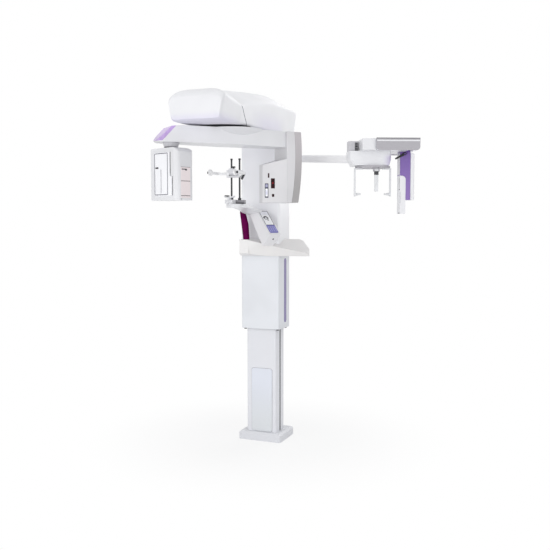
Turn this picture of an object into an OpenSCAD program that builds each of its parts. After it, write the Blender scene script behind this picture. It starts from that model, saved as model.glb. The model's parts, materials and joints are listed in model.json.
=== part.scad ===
// Dental panoramic and cephalometric x-ray scanner on a lifting column.
// Millimetres, +Z up, patient side towards -Y, ceph arm towards +X.
// Origin: centre of the base plate's underside, on the column's axis.

/* [Base and column] */
// Width of the base cover
base_w = 280; // [260:1:320]
// Depth of the base cover
base_d = 232; // [215:1:260]
// Height of the base cover
base_h = 52; // [44:1:62]
// Thickness of the steel floor plate
plate_t = 12; // [8:1:18]
// Radius of the floor anchor holes
anchor_r = 7; // [5:0.5:9]
// Thickness of the carriage frame's side walls
frame_t = 19; // [14:1:24]
// Depth of the column profile
col_d = 135; // [120:1:145]
// Height of the column's top end
col_top = 1235; // [1200:1:1240]
// Width of the guide groove in each side of the column
groove_w = 16; // [12:1:22]
// Depth of the guide groove
groove_d = 14; // [10:1:16]
// Width of the service door
door_w = 136; // [110:1:150]
// Height of the service door
door_h = 396; // [300:1:450]
// Height of the wall bracket's centre
bracket_z = 1140; // [1050:1:1150]
// Distance from the column's axis to the wall
wall_y = 172; // [165:1:200]

/* [Lifting carriage] */
// Width of the carriage covers
cover_w = 250; // [240:1:262]
// Depth of the carriage covers
cover_d = 174; // [168:1:186]
// Wall of the carriage covers
cover_t = 5; // [3:0.5:7]
// Height of the lower cover's bottom edge
cover_z = 700; // [690:1:730]
// Height where the lower and upper covers meet
join_z = 1150; // [1120:1:1165]
// Running gap between the carriage and the column
run_gap = 0.5; // [0.3:0.1:1]
// Width of the coloured strip in each side of the lower cover
strip_w = 40; // [20:1:60]
// Thickness of the lift rod's radius
rod_r = 20; // [16:1:24]

/* [Shelf, grip and console] */
// Reach of the shelf to the right of the column
shelf_x = 300; // [280:1:310]
// Reach of the shelf in front of the column
shelf_y = 168; // [164:1:180]
// Height of the shelf at the column's front right edge
shelf_h = 69; // [62:1:74]
// Fall of the shelf's top to the front, in degrees
shelf_fall = 21; // [18:1:23]
// Fall of the shelf's top to the right, in degrees
shelf_lean = 20; // [16:1:21]
// Radius of the hand grip
grip_r = 19; // [15:1:22]
// Width of the console
console_w = 78; // [70:1:90]
// Length of the console's face below its centre
console_l = 100; // [94:1:110]
// Thickness of the console
console_t = 100; // [90:1:104]
// Slope of the console's face in degrees
console_tilt = 48; // [40:1:55]

/* [Head support] */
// Height of the support arm's top
support_z = 1460; // [1452:1:1462]
// Thickness of the support arm
support_t = 22; // [18:1:26]
// Distance of the guide rods in front of the column's axis
rods_y = 432; // [425:1:445]
// Spacing of the guide rods
rods_gap = 50; // [40:1:56]
// Radius of the guide rods
guide_r = 5; // [4:0.5:6]
// Height of the head clamp's centre
clamp_z = 1628; // [1600:1:1640]
// Half the distance between the temple pads
temple_x = 80; // [72:1:95]

/* [Crown] */
// Width of the crown
crown_w = 320; // [300:1:340]
// Height of the crown's underside
crown_z = 1872; // [1868:1:1885]
// Height of the crown's top
crown_top = 2112; // [2090:1:2130]
// Reach of the crown in front of the column's axis
crown_front = 915; // [880:1:950]
// Reach of the crown behind the column's axis
crown_back = 150; // [140:1:160]
// Distance of the seam between the crown's two shells
seam_y = 684; // [675:1:720]
// Wall of the crown's shells
shell_t = 5; // [4:0.5:7]

/* [Rotating arm] */
// Distance of the rotation axis in front of the column's axis
axis_y = 580; // [570:1:585]
// Angle of the arm at rest, from +X
arm_angle = 50; // [35:1:60]
// Width of the beam at its middle
beam_w = 190; // [170:1:210]
// Height of the beam
beam_h = 87; // [82:1:94]
// Gap between the beam and the crown
beam_gap = 10; // [6:1:14]
// Distance from the axis to the beam's coloured tip
tip_x = 398; // [390:1:410]
// Distance from the axis to the x-ray housing's inner face
tube_x = 226; // [215:1:232]
// Distance from the axis to the joint of housing and fin
fin_x = 352; // [340:1:365]
// Distance from the axis to the fin's outer edge
fin_out = 447; // [436:1:458]
// Width of the x-ray housing and its fin
tube_w = 156; // [140:1:180]
// Height of the x-ray housing's bottom
tube_z = 1466; // [1462:1:1480]
// Radius of the rotating hub
hub_r = 60; // [50:1:66]

/* [Panoramic detector] */
// Distance from the axis to the detector's swivel
det_x = 304; // [298:1:316]
// Depth of the detector housing
det_d = 116; // [104:1:122]
// Width of the detector housing
det_w = 236; // [226:1:244]
// Turn of the detector at rest, from the beam
det_turn = 18; // [10:1:24]
// Height of the detector housing's bottom
det_z = 1472; // [1465:1:1485]
// Radius of the detector's swivel shaft
swivel_r = 28; // [22:1:32]

/* [Cephalometric unit] */
// Distance of the cephalostat's axis to the right of the column
ceph_x = 747; // [730:1:770]
// Distance of the cephalostat's axis in front of the column's axis
ceph_y = 252; // [240:1:265]
// Angle of the ceph unit, from +X
ceph_angle = 25; // [20:1:30]
// Height of the ceph arm's root
ceph_arm_z = 1748; // [1738:1:1756]
// Thickness of the ceph arm
ceph_arm_t = 44; // [36:1:48]
// Height of the head housing's underside
head_z = 1664; // [1656:1:1672]
// Height of the rail housing's underside
rail_z = 1741; // [1738:1:1748]
// Height of the rail housing
rail_h = 60; // [54:1:68]
// Length of the rail housing
rail_l = 330; // [310:1:350]
// Distance from the cephalostat's axis to the ear arms
ear_x = 102; // [96:1:106]
// Length of the ear arms
ear_l = 154; // [140:1:170]
// Distance from the cephalostat's axis to the ceph sensor's face
sensor_x = 145; // [140:1:149]
// Width of the ceph sensor
sensor_w = 76; // [66:1:90]
// Height of the ceph sensor's bottom
sensor_z = 1403; // [1390:1:1420]

/* [Hidden] */
$fn = 64;

// Colours
white = "#f1f2f4";
pearl = "#e4e4ea";
grey = "#b9b8c0";
dark = "#4a4b50";
lilac = "#c3b2dd";
violet = "#7b57a6";
plum = "#6b0a5a";
steel = "#9a9ca0";
blue = "#8f8fca";
red_glass = "#3a0d12";
rose = "#ead9dc";

// Shared fits
door_t = 3;
fit = 0.1;
slide_fit = 0.4;
edge_r = 12;

// Column, inside the carriage
frame_gap = 3;
col_w = cover_w - 2*(cover_t + frame_t + frame_gap);

// Base
base_shift = 14;
chamfer = 12;
cover_skin = 4;
anchor_x = base_w/2 - 28;
anchor_y = base_d/2 - 41;
col_wall = groove_d + 10;
col_front_wall = 10;
door_r = 14;
flange_t = 8;
flange_w = 180;
flange_h = 110;
flange_bolt_x = 70;
flange_bolt_z = 35;
flange_hole_r = 5;

// Carriage
frame_in = col_w/2 + frame_gap;
frame_out = cover_w/2 - cover_t;
front_in = col_d/2 + door_t + 2;
front_out = cover_d/2 - cover_t;
pillar_top = crown_z;
pad_h = 60;
pad_z = [cover_z + 40, col_top - 180];
plate_z = crown_z + shell_t;
crown_plate_t = 20;
actuator_r = rod_r + 14;
actuator_top = col_top - 15;
rod_foot = cover_z + 20;
strip_z = [cover_z + 33, join_z - 18];
strip_y = 18;
strip_d = 2.5;

// Shelf and console
shelf_bottom = join_z;
boss_z = shelf_bottom + 100;
sweep_x = -cover_w/2 + 83;
sweep_turn = atan2(shelf_y - 68, shelf_x - 14 - sweep_x);
undercut = 24;
grip_top = [-cover_w/2 + 41, -154];
grip_top_z = support_z - 46;
grip_foot = [-cover_w/2 + 62, -147];
console_at = [97, -182, 1357];
console_turn = -30;
pad_l = 172;
face_depth = 50;
console_up = 140;
pad_w = console_w - 14;
support_bottom = support_z - support_t;
slope_y = 380;
root_drop = 43;

// Head support
support_tip = rods_y + 64;
arm_half = 46;
rod_top = 1715;
block_h = 23;
chin_y = rods_y + 44;
clamp_h = 40;
hinge_x = 38;
hinge_y = rods_y + 22;
clamp_half = rods_gap/2 + 17;
lever_boss = 6;
hinge_r = 4;
temple_y = axis_y + 18;

// Crown
nose_round = 60;
cheek_round = 26;
chin_rise = 10;
belly = 18;
brow_drop = 44;
back_round = 50;
crest_y = -120;
crest_drop = 82;
tail_drop = 62;
shoulder_y = -176;
ring_steps = 3;
bearing_t = 25;
bearing_r = hub_r + 32;
hub_top = plate_z + crown_plate_t + bearing_t;
flange_gap = 0.4;
motor_r = 44;

// Rotating arm
beam_top = crown_z - beam_gap;
beam_z = beam_top - beam_h;
beam_reach = 560;
beam_arc = (beam_reach*beam_reach + beam_w*beam_w/4)/beam_w;
dish_x = 55;
dish_r = 165;
dish_h = 50;
dish_arc = (dish_r*dish_r + dish_h*dish_h)/(2*dish_h);
tip_foot = 6;
tip_round = 60;
tip_rake = 75;
tip_l = 101;
tip_slant = 73;
fin_arc = 1500;
fin_mid = 1725;
trim_t = 42;
tube_skin = 5;
tube_top = 1676;
tube_rise = 35;
tube_nose = 20;
tube_brow = 30;
window_depth = 2;
windows = [[34, tube_z + 151, 8, 26], [58, tube_z + 107, 22, 56], [59, tube_z + 40, 13, 16]];
slider_at = [23, tube_z + 67];
slider_size = [20, 80];

// Detector
det_top = 1745;
det_corner = 26;
cassette_t = 12;
cassette_w = 147;
cassette_h = 226;
cassette_at = [-11.5, 2];
cassette_step = 17;
pocket_gap = 6;
cassette_proud = 3;
panel_t = 4;

// Ceph unit
head_x = [-138, 91];
head_y = 74;
head_slope = 26;
head_top = rail_z;
tower_x = [-80, -6];
tower_y = 150;
rail_x = [-6, 218];
rail_skin = 6;
tongue_w = 26;
tongue_h = 24;
tongue_x = sensor_x + 40;
plate_end_t = 4;
disc_r = 96;
disc_t = 10;
disc_z = head_z - 1 - disc_t;
spindle_r = 20;
spindle_l = 34;
rail_groove_w = 14;
rail_groove_d = 6;
nasion_at = [10, -62];
nasion_z = disc_z - 12;
nasion_l = 118;
bracket_top = rail_z - 0.6;
bracket_back = sensor_x + 56;
bracket_web = 24;
bracket_low = sensor_z + 75;
notch_z = sensor_z + 208;
notch_r = 22;
cover_back_t = 24;
lever_at = [sensor_x + 24, rail_z - 12];
arm_from = [frame_in + 39, cover_d/2 + 13];
arm_to = [ceph_x - 85*cos(ceph_angle) - head_y*sin(ceph_angle),
          -ceph_y - 85*sin(ceph_angle) + head_y*cos(ceph_angle)];
arm_tilt = 4;

// Shape helpers

// Rounded rectangle about the origin
module rrect(w, d, r) {
  square([w - 2*r, d], center = true);
  square([w, d - 2*r], center = true);
  for (sx = [-1, 1], sy = [-1, 1])
    translate([sx*(w/2 - r), sy*(d/2 - r)]) circle(r);
}

// Upright block with rounded corners, from z0 to z1
module rbox(w, d, z0, z1, r) {
  translate([0, 0, z0]) linear_extrude(z1 - z0) rrect(w, d, r);
}

// Box between two corners
module slab(a, b) {
  translate(a) cube([b[0] - a[0], b[1] - a[1], b[2] - a[2]]);
}

// Extrudes an X-Z outline along Y, from y0 to y1
module along_y(y0, y1) {
  translate([0, y1, 0]) rotate([90, 0, 0]) linear_extrude(y1 - y0) children();
}

// Extrudes a Y-Z outline along X, from x0 to x1
module along_x(x0, x1) {
  translate([x0, 0, 0]) rotate([90, 0, 90]) linear_extrude(x1 - x0) children();
}

// Repeats a shape mirrored in X
module both_sides() {
  children();
  mirror([1, 0, 0]) children();
}

// Stands a shape on the rotation axis, turned with the arm
module on_arm() {
  translate([0, -axis_y, 0]) rotate(arm_angle) children();
}

// Stands a shape on the cephalostat's axis
module on_ceph() {
  translate([ceph_x, -ceph_y, 0]) rotate(ceph_angle) children();
}

// Lays a shape on the console's face: X down the face, Z out of it
module on_console() {
  translate(console_at) rotate([0, 0, console_turn]) rotate([0, console_tilt, 0]) children();
}

// Rounds the corners of a ring of points, with n steps to each corner
function soften(ring, reach, n) = [
  for (i = [0:len(ring) - 1])
    let (c = ring[i],
         a = ring[(i + len(ring) - 1) % len(ring)],
         b = ring[(i + 1) % len(ring)],
         p = c + (a - c)*min(0.46, reach[i]/norm(a - c)),
         q = c + (b - c)*min(0.46, reach[i]/norm(b - c)))
      for (k = [0:n])
        let (t = k/n) (1 - t)*(1 - t)*p + 2*t*(1 - t)*c + t*t*q];

// Skins a list of rings of equal length into one closed solid
module skin(rings) {
  n = len(rings[0]);
  last = len(rings) - 1;
  sides = [for (i = [0:last - 1], j = [0:n - 1])
    [i*n + j, i*n + (j + 1) % n, (i + 1)*n + (j + 1) % n, (i + 1)*n + j]];
  first_cap = [[for (j = [n - 1:-1:0]) j]];
  last_cap = [[for (j = [0:n - 1]) last*n + j]];
  polyhedron([for (r = rings, p = r) p], concat(sides, first_cap, last_cap), convexity = 6);
}

// Base and column

module floor_plate() color(steel)
  difference() {
    translate([0, base_shift, 0]) rbox(base_w - 2*cover_skin, base_d - 2*cover_skin, 0, plate_t, edge_r);
    for (sx = [-1, 1], sy = [-1, 1])
      translate([sx*anchor_x, sy*anchor_y, -1]) cylinder(r = anchor_r, h = plate_t + 2);
  }

module base_cover() color(white)
  difference() {
    translate([0, base_shift, 0])
      difference() {
        rbox(base_w, base_d, 0, base_h, edge_r);
        for (side = [0, 180])
          rotate(side) {
            translate([-base_w, -base_d/2, base_h - chamfer]) rotate([45, 0, 0])
              cube([2*base_w, 2*chamfer, 4*chamfer]);
            translate([base_w/2, -base_d, base_h - chamfer]) rotate([0, -45, 0])
              cube([4*chamfer, 2*base_d, 2*chamfer]);
          }
        rbox(base_w - 2*cover_skin, base_d - 2*cover_skin, -1, plate_t, edge_r);
        rbox(base_w - 2*chamfer - 2*cover_skin, base_d - 2*chamfer - 2*cover_skin,
             -1, base_h - cover_skin, edge_r);
      }
    rbox(col_w, col_d, -1, base_h + 1, edge_r);
  }

module column() color(white)
  difference() {
    rbox(col_w, col_d, plate_t, col_top, edge_r);
    rbox(col_w - 2*col_wall, col_d - 2*col_front_wall, plate_t - 1, col_top + 1, edge_r/2);
    for (s = [-1, 1])
      translate([s*col_w/2, 0, col_top/2]) cube([2*groove_d, groove_w, 2*col_top], center = true);
  }

module service_door() color(white)
  translate([4, 0, base_h + 2 + door_h/2])
    along_y(-col_d/2 - door_t, -col_d/2) rrect(door_w, door_h, door_r);

module lift_actuator() color(dark)
  difference() {
    union() {
      translate([0, 0, plate_t]) cylinder(r = actuator_r, h = actuator_top - plate_t);
      slab([-actuator_r - 12, -actuator_r - 10, plate_t], [actuator_r + 12, actuator_r + 10, plate_t + 130]);
    }
    translate([0, 0, plate_t + 50]) cylinder(r = rod_r + slide_fit, h = col_top);
  }

module wall_bracket() color(white)
  translate([0, 0, bracket_z]) {
    difference() {
      along_y(wall_y - flange_t, wall_y) rrect(flange_w, flange_h, 8);
      for (sx = [-1, 1], sz = [-1, 1])
        translate([sx*flange_bolt_x, wall_y + 1, sz*flange_bolt_z]) rotate([90, 0, 0])
          cylinder(r = flange_hole_r, h = flange_t + 2);
    }
    difference() {
      slab([-50, col_d/2, -36], [50, wall_y - flange_t, 36]);
      slab([-44, col_d/2 + 8, -37], [44, wall_y - flange_t - 8, 37]);
    }
  }

// Lifting carriage

module carriage_frame() color(steel)
  difference() {
    slab([-frame_out, -front_out, cover_z + 4], [frame_out, cover_d/2, plate_z]);
    slab([-frame_in, -front_in, cover_z], [frame_in, cover_d, plate_z + 1]);
  }

module guide_pads() color(dark)
  both_sides()
    for (z = pad_z) {
      slab([col_w/2 + run_gap, -groove_w, z], [frame_in, groove_w, z + pad_h]);
      slab([col_w/2 - groove_d + run_gap, -groove_w/2 + run_gap, z],
           [col_w/2 + run_gap, groove_w/2 - run_gap, z + pad_h]);
    }

module lift_rod() color(steel)
  translate([0, 0, rod_foot]) cylinder(r = rod_r, h = plate_z - rod_foot);

// Open-backed cover round the carriage, from z0 to z1
module carriage_cover(z0, z1) {
  difference() {
    intersection() {
      rbox(cover_w, 2*cover_d, z0, z1, edge_r);
      slab([-cover_w, -cover_d/2, z0], [cover_w, cover_d/2, z1]);
      translate([0, cover_d/2, 0]) rbox(cover_w, 2*cover_d, z0, z1, edge_r);
    }
    slab([-frame_out, -front_out, z0 - 1], [frame_out, cover_d, z1 + 1]);
  }
}

// Outline of the coloured strip, on the side of the lower cover
module strip_outline() {
  translate([strip_y, (strip_z[0] + strip_z[1])/2])
    rrect(strip_w, strip_z[1] - strip_z[0], strip_w/2 - 0.5);
}

module lower_cover() color(white)
  difference() {
    carriage_cover(cover_z, join_z);
    both_sides() along_x(cover_w/2 - strip_d, cover_w/2 + 1) strip_outline();
  }

module accent_strips() color(violet)
  both_sides() along_x(cover_w/2 - strip_d, cover_w/2) strip_outline();

module upper_cover() color(white)
  carriage_cover(join_z, pillar_top);

// Shelf, grip and console

// Plan of the shelf: a strip before the column, swept back into a wing beside it
module shelf_plan() {
  difference() {
    polygon([[-cover_w/2, -cover_d/2], [-cover_w/2 + 24, -shelf_y], [sweep_x, -shelf_y], [shelf_x - 14, -68],
             [shelf_x, -46], [shelf_x - 8, -6], [shelf_x - 72, 58], [cover_w/2, 58]]);
    translate([-cover_w/2, -cover_d/2]) square([cover_w, 2*cover_d]);
  }
}

module shelf() color(white)
  difference() {
    intersection() {
      translate([0, 0, shelf_bottom]) linear_extrude(boss_z - shelf_bottom) shelf_plan();
      translate([cover_w/2, -cover_d/2, shelf_bottom + shelf_h]) rotate([shelf_fall, shelf_lean, 0])
        translate([-600, -600, -600]) cube([1200, 1200, 600]);
    }
    translate([grip_foot[0], grip_foot[1], boss_z - 14]) cylinder(r = grip_r, h = 30);
    translate([sweep_x, -shelf_y, shelf_bottom + 45]) rotate([undercut, 0, sweep_turn])
      translate([0, -300, -300]) cube([600, 300, 300]);
    translate([0, -shelf_y, shelf_bottom + 17]) rotate([-17, 0, 0])
      translate([-400, -40, -200]) cube([800, 98, 200]);
  }

module hand_grip() color(plum) {
  difference() {
    hull() {
      translate([grip_foot[0], grip_foot[1], boss_z]) cylinder(r = grip_r, h = 2, $fn = 32);
      translate([grip_foot[0] - 6, grip_foot[1] - 5, boss_z + 90]) sphere(r = grip_r + 2, $fn = 32);
      translate([grip_top[0], grip_top[1], grip_top_z]) sphere(r = grip_r - 2, $fn = 32);
    }
    support_arm();
  }
  translate([grip_foot[0], grip_foot[1], boss_z - 14]) cylinder(r = grip_r, h = 14);
}

// Side view of the console, thicker towards its lower end
module console_side() {
  polygon([[-console_up, 0], [console_l, 0], [console_l, -console_t], [-console_up, -console_t + 30]]);
}

module console() color(pearl)
  difference() {
    on_console()
      difference() {
        along_y(-console_w/2, console_w/2) console_side();
        translate([0, 0, -2]) linear_extrude(3) rrect(pad_l, pad_w, 8);
      }
    above_arm(0);
    support_arm();
    slab([-600, -cover_d/2, 0], [600, 300, 3000]);
  }

// Upper part of the console's face is the display, the lower part the keys
module face_part(x0, x1) {
  on_console() translate([0, 0, -2]) linear_extrude(2.6)
    intersection() {
      rrect(pad_l, pad_w, 8);
      translate([x0, -pad_w]) square([x1 - x0, 2*pad_w]);
    }
}

module display_panel() color(white)
  difference() {
    face_part(-pad_l/2, 26);
    above_arm(0);
  }

module keypad() color(blue)
  face_part(26, pad_l/2);

// Head support

// All that lies above the support arm's sloped top, lowered by drop
module above_arm(drop) {
  along_x(-600, 600)
    polygon([[-900, support_z - drop], [-slope_y, support_z - drop], [-cover_d/2, support_z - root_drop - drop],
             [300, support_z - root_drop - drop], [300, 3000], [-900, 3000]]);
}

module support_plan() {
  root = cover_w/2 - 55;
  polygon([[-root, -cover_d/2], [-root, -190], [-arm_half, -300], [-arm_half, -support_tip + arm_half],
           [arm_half, -support_tip + arm_half], [arm_half, -cover_d/2]]);
  translate([0, -support_tip + arm_half]) circle(arm_half);
}

module support_arm() color(white)
  difference() {
    intersection() {
      translate([0, 0, support_bottom - 2*root_drop]) linear_extrude(support_t + 4*root_drop) support_plan();
      above_arm(support_t);
    }
    above_arm(0);
    on_console() along_y(-console_w/2, console_w/2)
      translate([-console_up, -face_depth]) square([console_up + console_l, face_depth + 1]);
  }

module guide_rods() color(dark)
  both_sides()
    translate([rods_gap/2, -rods_y, support_z + 8])
      cylinder(r = guide_r, h = rod_top - support_z - 8);

// Sockets of the guide rods, cut from the blocks they stand in
module rod_sockets() {
  both_sides()
    translate([rods_gap/2, -rods_y, support_z + 8]) cylinder(r = guide_r, h = 40);
}

module chin_base() color(white)
  difference() {
    slab([-40, -rods_y - 58, support_z], [6, -rods_y + 12, support_z + block_h]);
    rod_sockets();
  }

module rod_block() color(dark)
  difference() {
    slab([6, -rods_y - 14, support_z], [58, -rods_y + 10, support_z + block_h - 2]);
    rod_sockets();
  }

module chin_rest() color(white)
  translate([-17, -chin_y, support_z + block_h]) {
    cylinder(r = 9, h = 8);
    translate([0, 0, 8]) intersection() {
      rbox(62, 34, 0, 14, 12);
      translate([0, 0, 60]) rotate([90, 0, 0]) difference() {
        cylinder(r = 60, h = 80, center = true);
        cylinder(r = 54, h = 82, center = true);
      }
    }
  }

module bite_block() color(dark)
  translate([-17, -rods_y - 58 - 8, support_z]) {
    cylinder(r = 4, h = 40);
    slab([-4, 0, 6], [4, 8, 18]);
    slab([-8, -24, 40], [8, 5, 46]);
  }

// Crown

// Rise of a rounded end: 0 at the end, 1 past the rounding
function round_in(t, reach) = t >= reach ? 1 : sqrt(max(0, 1 - pow(1 - max(0, t)/reach, 2)));
function crest(y) = y < crest_y
  ? crown_top - crest_drop*pow((crest_y - y)/(crown_front + crest_y), 1.2)
  : crown_top - tail_drop*pow((y - crest_y)/(crown_back - crest_y), 2.2);
function lead(y) = max(0, (-seam_y - y)/(crown_front - seam_y));
function shoulder(y) = y < -seam_y
  ? crown_z + 96 + 37*lead(y)
  : crown_z + 162 - 66*pow(max(0, shoulder_y - y)/(seam_y + shoulder_y), 2);

// Section of the crown at y, drawn in from the outside by inset
function crown_ring(y, inset) =
  let (t = crown_front - inset + y,
       tail = round_in(crown_back - inset - y, back_round),
       half = (crown_w/2)*(0.93 + 0.07*round_in(t, cheek_round))*(0.84 + 0.16*tail) - inset,
       low = crown_z + inset + chin_rise*(1 - round_in(t, nose_round)) + 40*(1 - tail),
       high = crest(y) - inset - brow_drop*(1 - round_in(t, nose_round)) - 30*(1 - tail),
       side = min(shoulder(y) - inset/2, low + 0.8*(high - low)),
       flat = half*(0.32 + 0.46*lead(y)),
       corners = [[-half + belly, low], [half - belly, low], [half, side], [flat, high], [-flat, high], [-half, side]])
  [for (p = soften(corners, [16, 16, 16, 46, 46, 16], ring_steps)) [p[0], y, p[1]]];

// Stations along the crown, closer together at its rounded ends
function nose_stations(inset) = [
  for (k = [0:6]) -crown_front + inset + 0.6 + (nose_round + 10)*pow(k/6, 1.8)];
function tail_stations(inset) = [
  for (k = [5:-1:0]) crown_back - inset - 0.6 - (back_round + 10)*pow(k/5, 1.8)];
function middle_stations(y0, y1, n) = [for (k = [1:n - 1]) y0 + (y1 - y0)*k/n];

module front_skin(inset, y1) {
  ys = concat(nose_stations(inset), middle_stations(-crown_front + nose_round + 16, y1, 3), [y1]);
  skin([for (y = ys) crown_ring(y, inset)]);
}

module rear_skin(inset, y0) {
  ys = concat([y0], middle_stations(y0, crown_back - back_round - 16, 8), tail_stations(inset));
  skin([for (y = ys) crown_ring(y, inset)]);
}

module crown_front_shell() color(white)
  difference() {
    front_skin(0, -seam_y);
    front_skin(shell_t, -seam_y + 1);
  }

module crown_rear() color(white)
  difference() {
    rear_skin(0, -seam_y);
    rear_skin(shell_t, -seam_y - 1);
    translate([0, -axis_y, crown_z - 5]) cylinder(r = hub_r + 14, h = 30);
    slab([-frame_out, -front_out, crown_z - 5], [frame_out, cover_d/2 + 2, crown_z + 40]);
  }

module crown_plate() color(steel)
  difference() {
    slab([-frame_out + 6, -axis_y - bearing_r - 4, plate_z], [frame_out - 6, cover_d/2 - 6, plate_z + crown_plate_t]);
    translate([0, -axis_y, plate_z - 1]) cylinder(r = hub_r + 8, h = crown_plate_t + 2);
  }

module slew_bearing() color(dark)
  translate([0, -axis_y, plate_z + crown_plate_t])
    difference() {
      cylinder(r = bearing_r, h = bearing_t);
      translate([0, 0, -1]) cylinder(r = hub_r + fit, h = bearing_t + 2);
    }

module rotation_motor() color(steel)
  translate([0, -axis_y, plate_z + crown_plate_t]) {
    both_sides() slab([bearing_r + 4, -18, 0], [bearing_r + 14, 18, bearing_t + 30]);
    difference() {
      slab([-bearing_r - 14, -24, bearing_t + 30], [bearing_r + 14, 24, bearing_t + 38]);
      translate([0, 0, bearing_t + 29]) cylinder(r = 12, h = 10);
    }
    difference() {
      translate([0, 0, bearing_t + 38]) cylinder(r = motor_r, h = 62);
      translate([0, 0, bearing_t + 37]) cylinder(r = 12, h = 20);
    }
  }

// Rotating arm

// Plan of the beam: two arcs that meet past its ends, with a rounded tip
module beam_plan() {
  intersection() {
    intersection_for(s = [-1, 1])
      translate([0, s*(beam_arc - beam_w/2)]) circle(beam_arc, $fn = 360);
    union() {
      translate([-tip_x + tip_round, 0]) circle(tip_round);
      translate([-tip_x + tip_round, -beam_w]) square([2*beam_reach, 2*beam_w]);
    }
  }
}

// Side view of the beam, with its slanted tip
module beam_side() {
  polygon([[-tip_x, beam_z + tip_foot], [-tip_x + tip_rake, beam_top - 5], [-tip_x + tip_rake + 35, beam_top],
           [fin_x, beam_top], [fin_x, beam_z], [-tip_x + 27, beam_z]]);
}

// Side view of the coloured tip
module tip_side() {
  polygon([[-tip_x - 10, beam_z + tip_foot], [-tip_x - 10, beam_top + 1], [-tip_x + tip_l, beam_top + 1],
           [-tip_x + tip_l - tip_slant, beam_z + tip_foot]]);
}

module beam_solid() {
  intersection() {
    translate([0, 0, beam_z]) linear_extrude(beam_h) beam_plan();
    along_y(-beam_w, beam_w) beam_side();
  }
}

// Shallow dish that widens the beam round the hub
module hub_dish() {
  translate([dish_x, 0, beam_top])
    rotate_extrude() intersection() {
      translate([0, dish_arc - dish_h]) circle(dish_arc, $fn = 180);
      translate([0, -dish_h]) square([dish_r, dish_h]);
    }
}

module arm_beam() color(white)
  on_arm() difference() {
    union() {
      difference() {
        beam_solid();
        along_y(-beam_w, beam_w) tip_side();
      }
      hub_dish();
    }
    translate([-det_x, 0, beam_z - 1]) cylinder(r = swivel_r + fit, h = 43);
  }

module beam_tip() color(lilac)
  on_arm() intersection() {
    beam_solid();
    along_y(-beam_w, beam_w) tip_side();
  }

module arm_hub() color(steel)
  on_arm() {
    translate([0, 0, beam_top]) cylinder(r = hub_r, h = hub_top + flange_gap - beam_top);
    translate([0, 0, hub_top + flange_gap]) cylinder(r = hub_r + 22, h = 12);
    translate([0, 0, hub_top + flange_gap + 12]) cylinder(r = 12 - fit, h = 34);
  }

// Side view of the fin, bounded by an arc of the given radius
module fin_side(r) {
  intersection() {
    translate([fin_out - fin_arc, fin_mid]) circle(r, $fn = 360);
    translate([fin_x, tube_z]) square([fin_arc, beam_top - tube_z]);
  }
}

module fin_plan() {
  translate([fin_x + 100, 0]) rrect(200, tube_w, 16);
  translate([fin_x, -tube_w/2]) square([40, tube_w]);
}

module arm_fin() color(white)
  on_arm() intersection() {
    translate([0, 0, tube_z]) linear_extrude(beam_top - tube_z) fin_plan();
    along_y(-tube_w, tube_w) fin_side(fin_arc - trim_t);
  }

module fin_edge() color(grey)
  on_arm() difference() {
    intersection() {
      translate([0, 0, tube_z]) linear_extrude(beam_top - tube_z) fin_plan();
      along_y(-tube_w, tube_w) fin_side(fin_arc);
    }
    along_y(-tube_w, tube_w) fin_side(fin_arc - trim_t);
  }

// Plan of the x-ray housing, narrower towards the patient
module tube_plan(inset) {
  polygon([[tube_x + inset, -tube_nose], [tube_x + inset, tube_nose], [fin_x - tube_brow, tube_w/2 - inset],
           [fin_x, tube_w/2 - inset], [fin_x, -tube_w/2 + inset], [fin_x - tube_brow, -tube_w/2 + inset]]);
}

// Side view of the x-ray housing, with its rising top
module tube_side(inset) {
  polygon([[0, tube_z + inset], [fin_x, tube_z + inset], [fin_x, tube_top + tube_rise - inset],
           [tube_x, tube_top - inset], [0, tube_top - inset]]);
}

module tube_solid(inset) {
  intersection() {
    translate([0, 0, tube_z]) linear_extrude(beam_top - tube_z) tube_plan(inset);
    along_y(-tube_w, tube_w) tube_side(inset);
  }
}

// Places an outline on the x-ray housing's slanted side, x along it from the nose
module on_tube_side(x, z, depth) {
  slant = atan2(tube_w/2 - tube_nose, fin_x - tube_brow - tube_x);
  translate([tube_x, -tube_nose, 0]) rotate(-slant) translate([x, 0, z]) rotate([90, 0, 0])
    translate([0, 0, -depth]) linear_extrude(depth + 0.6) children();
}

module tube_housing() color(pearl)
  on_arm() difference() {
    tube_solid(0);
    tube_solid(tube_skin);
    for (w = windows)
      on_tube_side(w[0], w[1], window_depth) rrect(w[2], w[3], 2);
    on_tube_side(slider_at[0], slider_at[1], window_depth) rrect(slider_size[0], slider_size[1], 3);
  }

module tube_block() color(steel)
  on_arm() {
    slab([fin_x - 74, -36, tube_z + tube_skin], [fin_x, 36, tube_z + 170]);
    translate([fin_x - 74, 0, tube_z + 95]) rotate([0, -90, 0]) cylinder(r = 16, h = 34);
  }

module laser_windows() color(red_glass)
  on_arm() for (w = windows)
    on_tube_side(w[0], w[1], window_depth) rrect(w[2], w[3], 2);

module light_slider() color(blue)
  on_arm() on_tube_side(slider_at[0], slider_at[1], window_depth)
    rrect(slider_size[0], slider_size[1], 3);

module swivel_collar() color(dark)
  on_arm() translate([-det_x, 0, det_top + 1])
    difference() {
      cylinder(r1 = swivel_r + 6, r2 = swivel_r + 17, h = beam_z - det_top - 1);
      translate([0, 0, -1]) cylinder(r = swivel_r + slide_fit, h = beam_z);
    }

// Panoramic detector

// Face outline of the cassette, stepped in towards its top on one side
module cassette_outline() {
  difference() {
    translate([cassette_at[0], cassette_at[1] + cassette_h/2]) rrect(cassette_w, cassette_h, 4);
    translate([cassette_at[0] - cassette_w/2 - 1, cassette_at[1] + cassette_h*0.45])
      square([cassette_step + 1, cassette_h]);
  }
}

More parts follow.
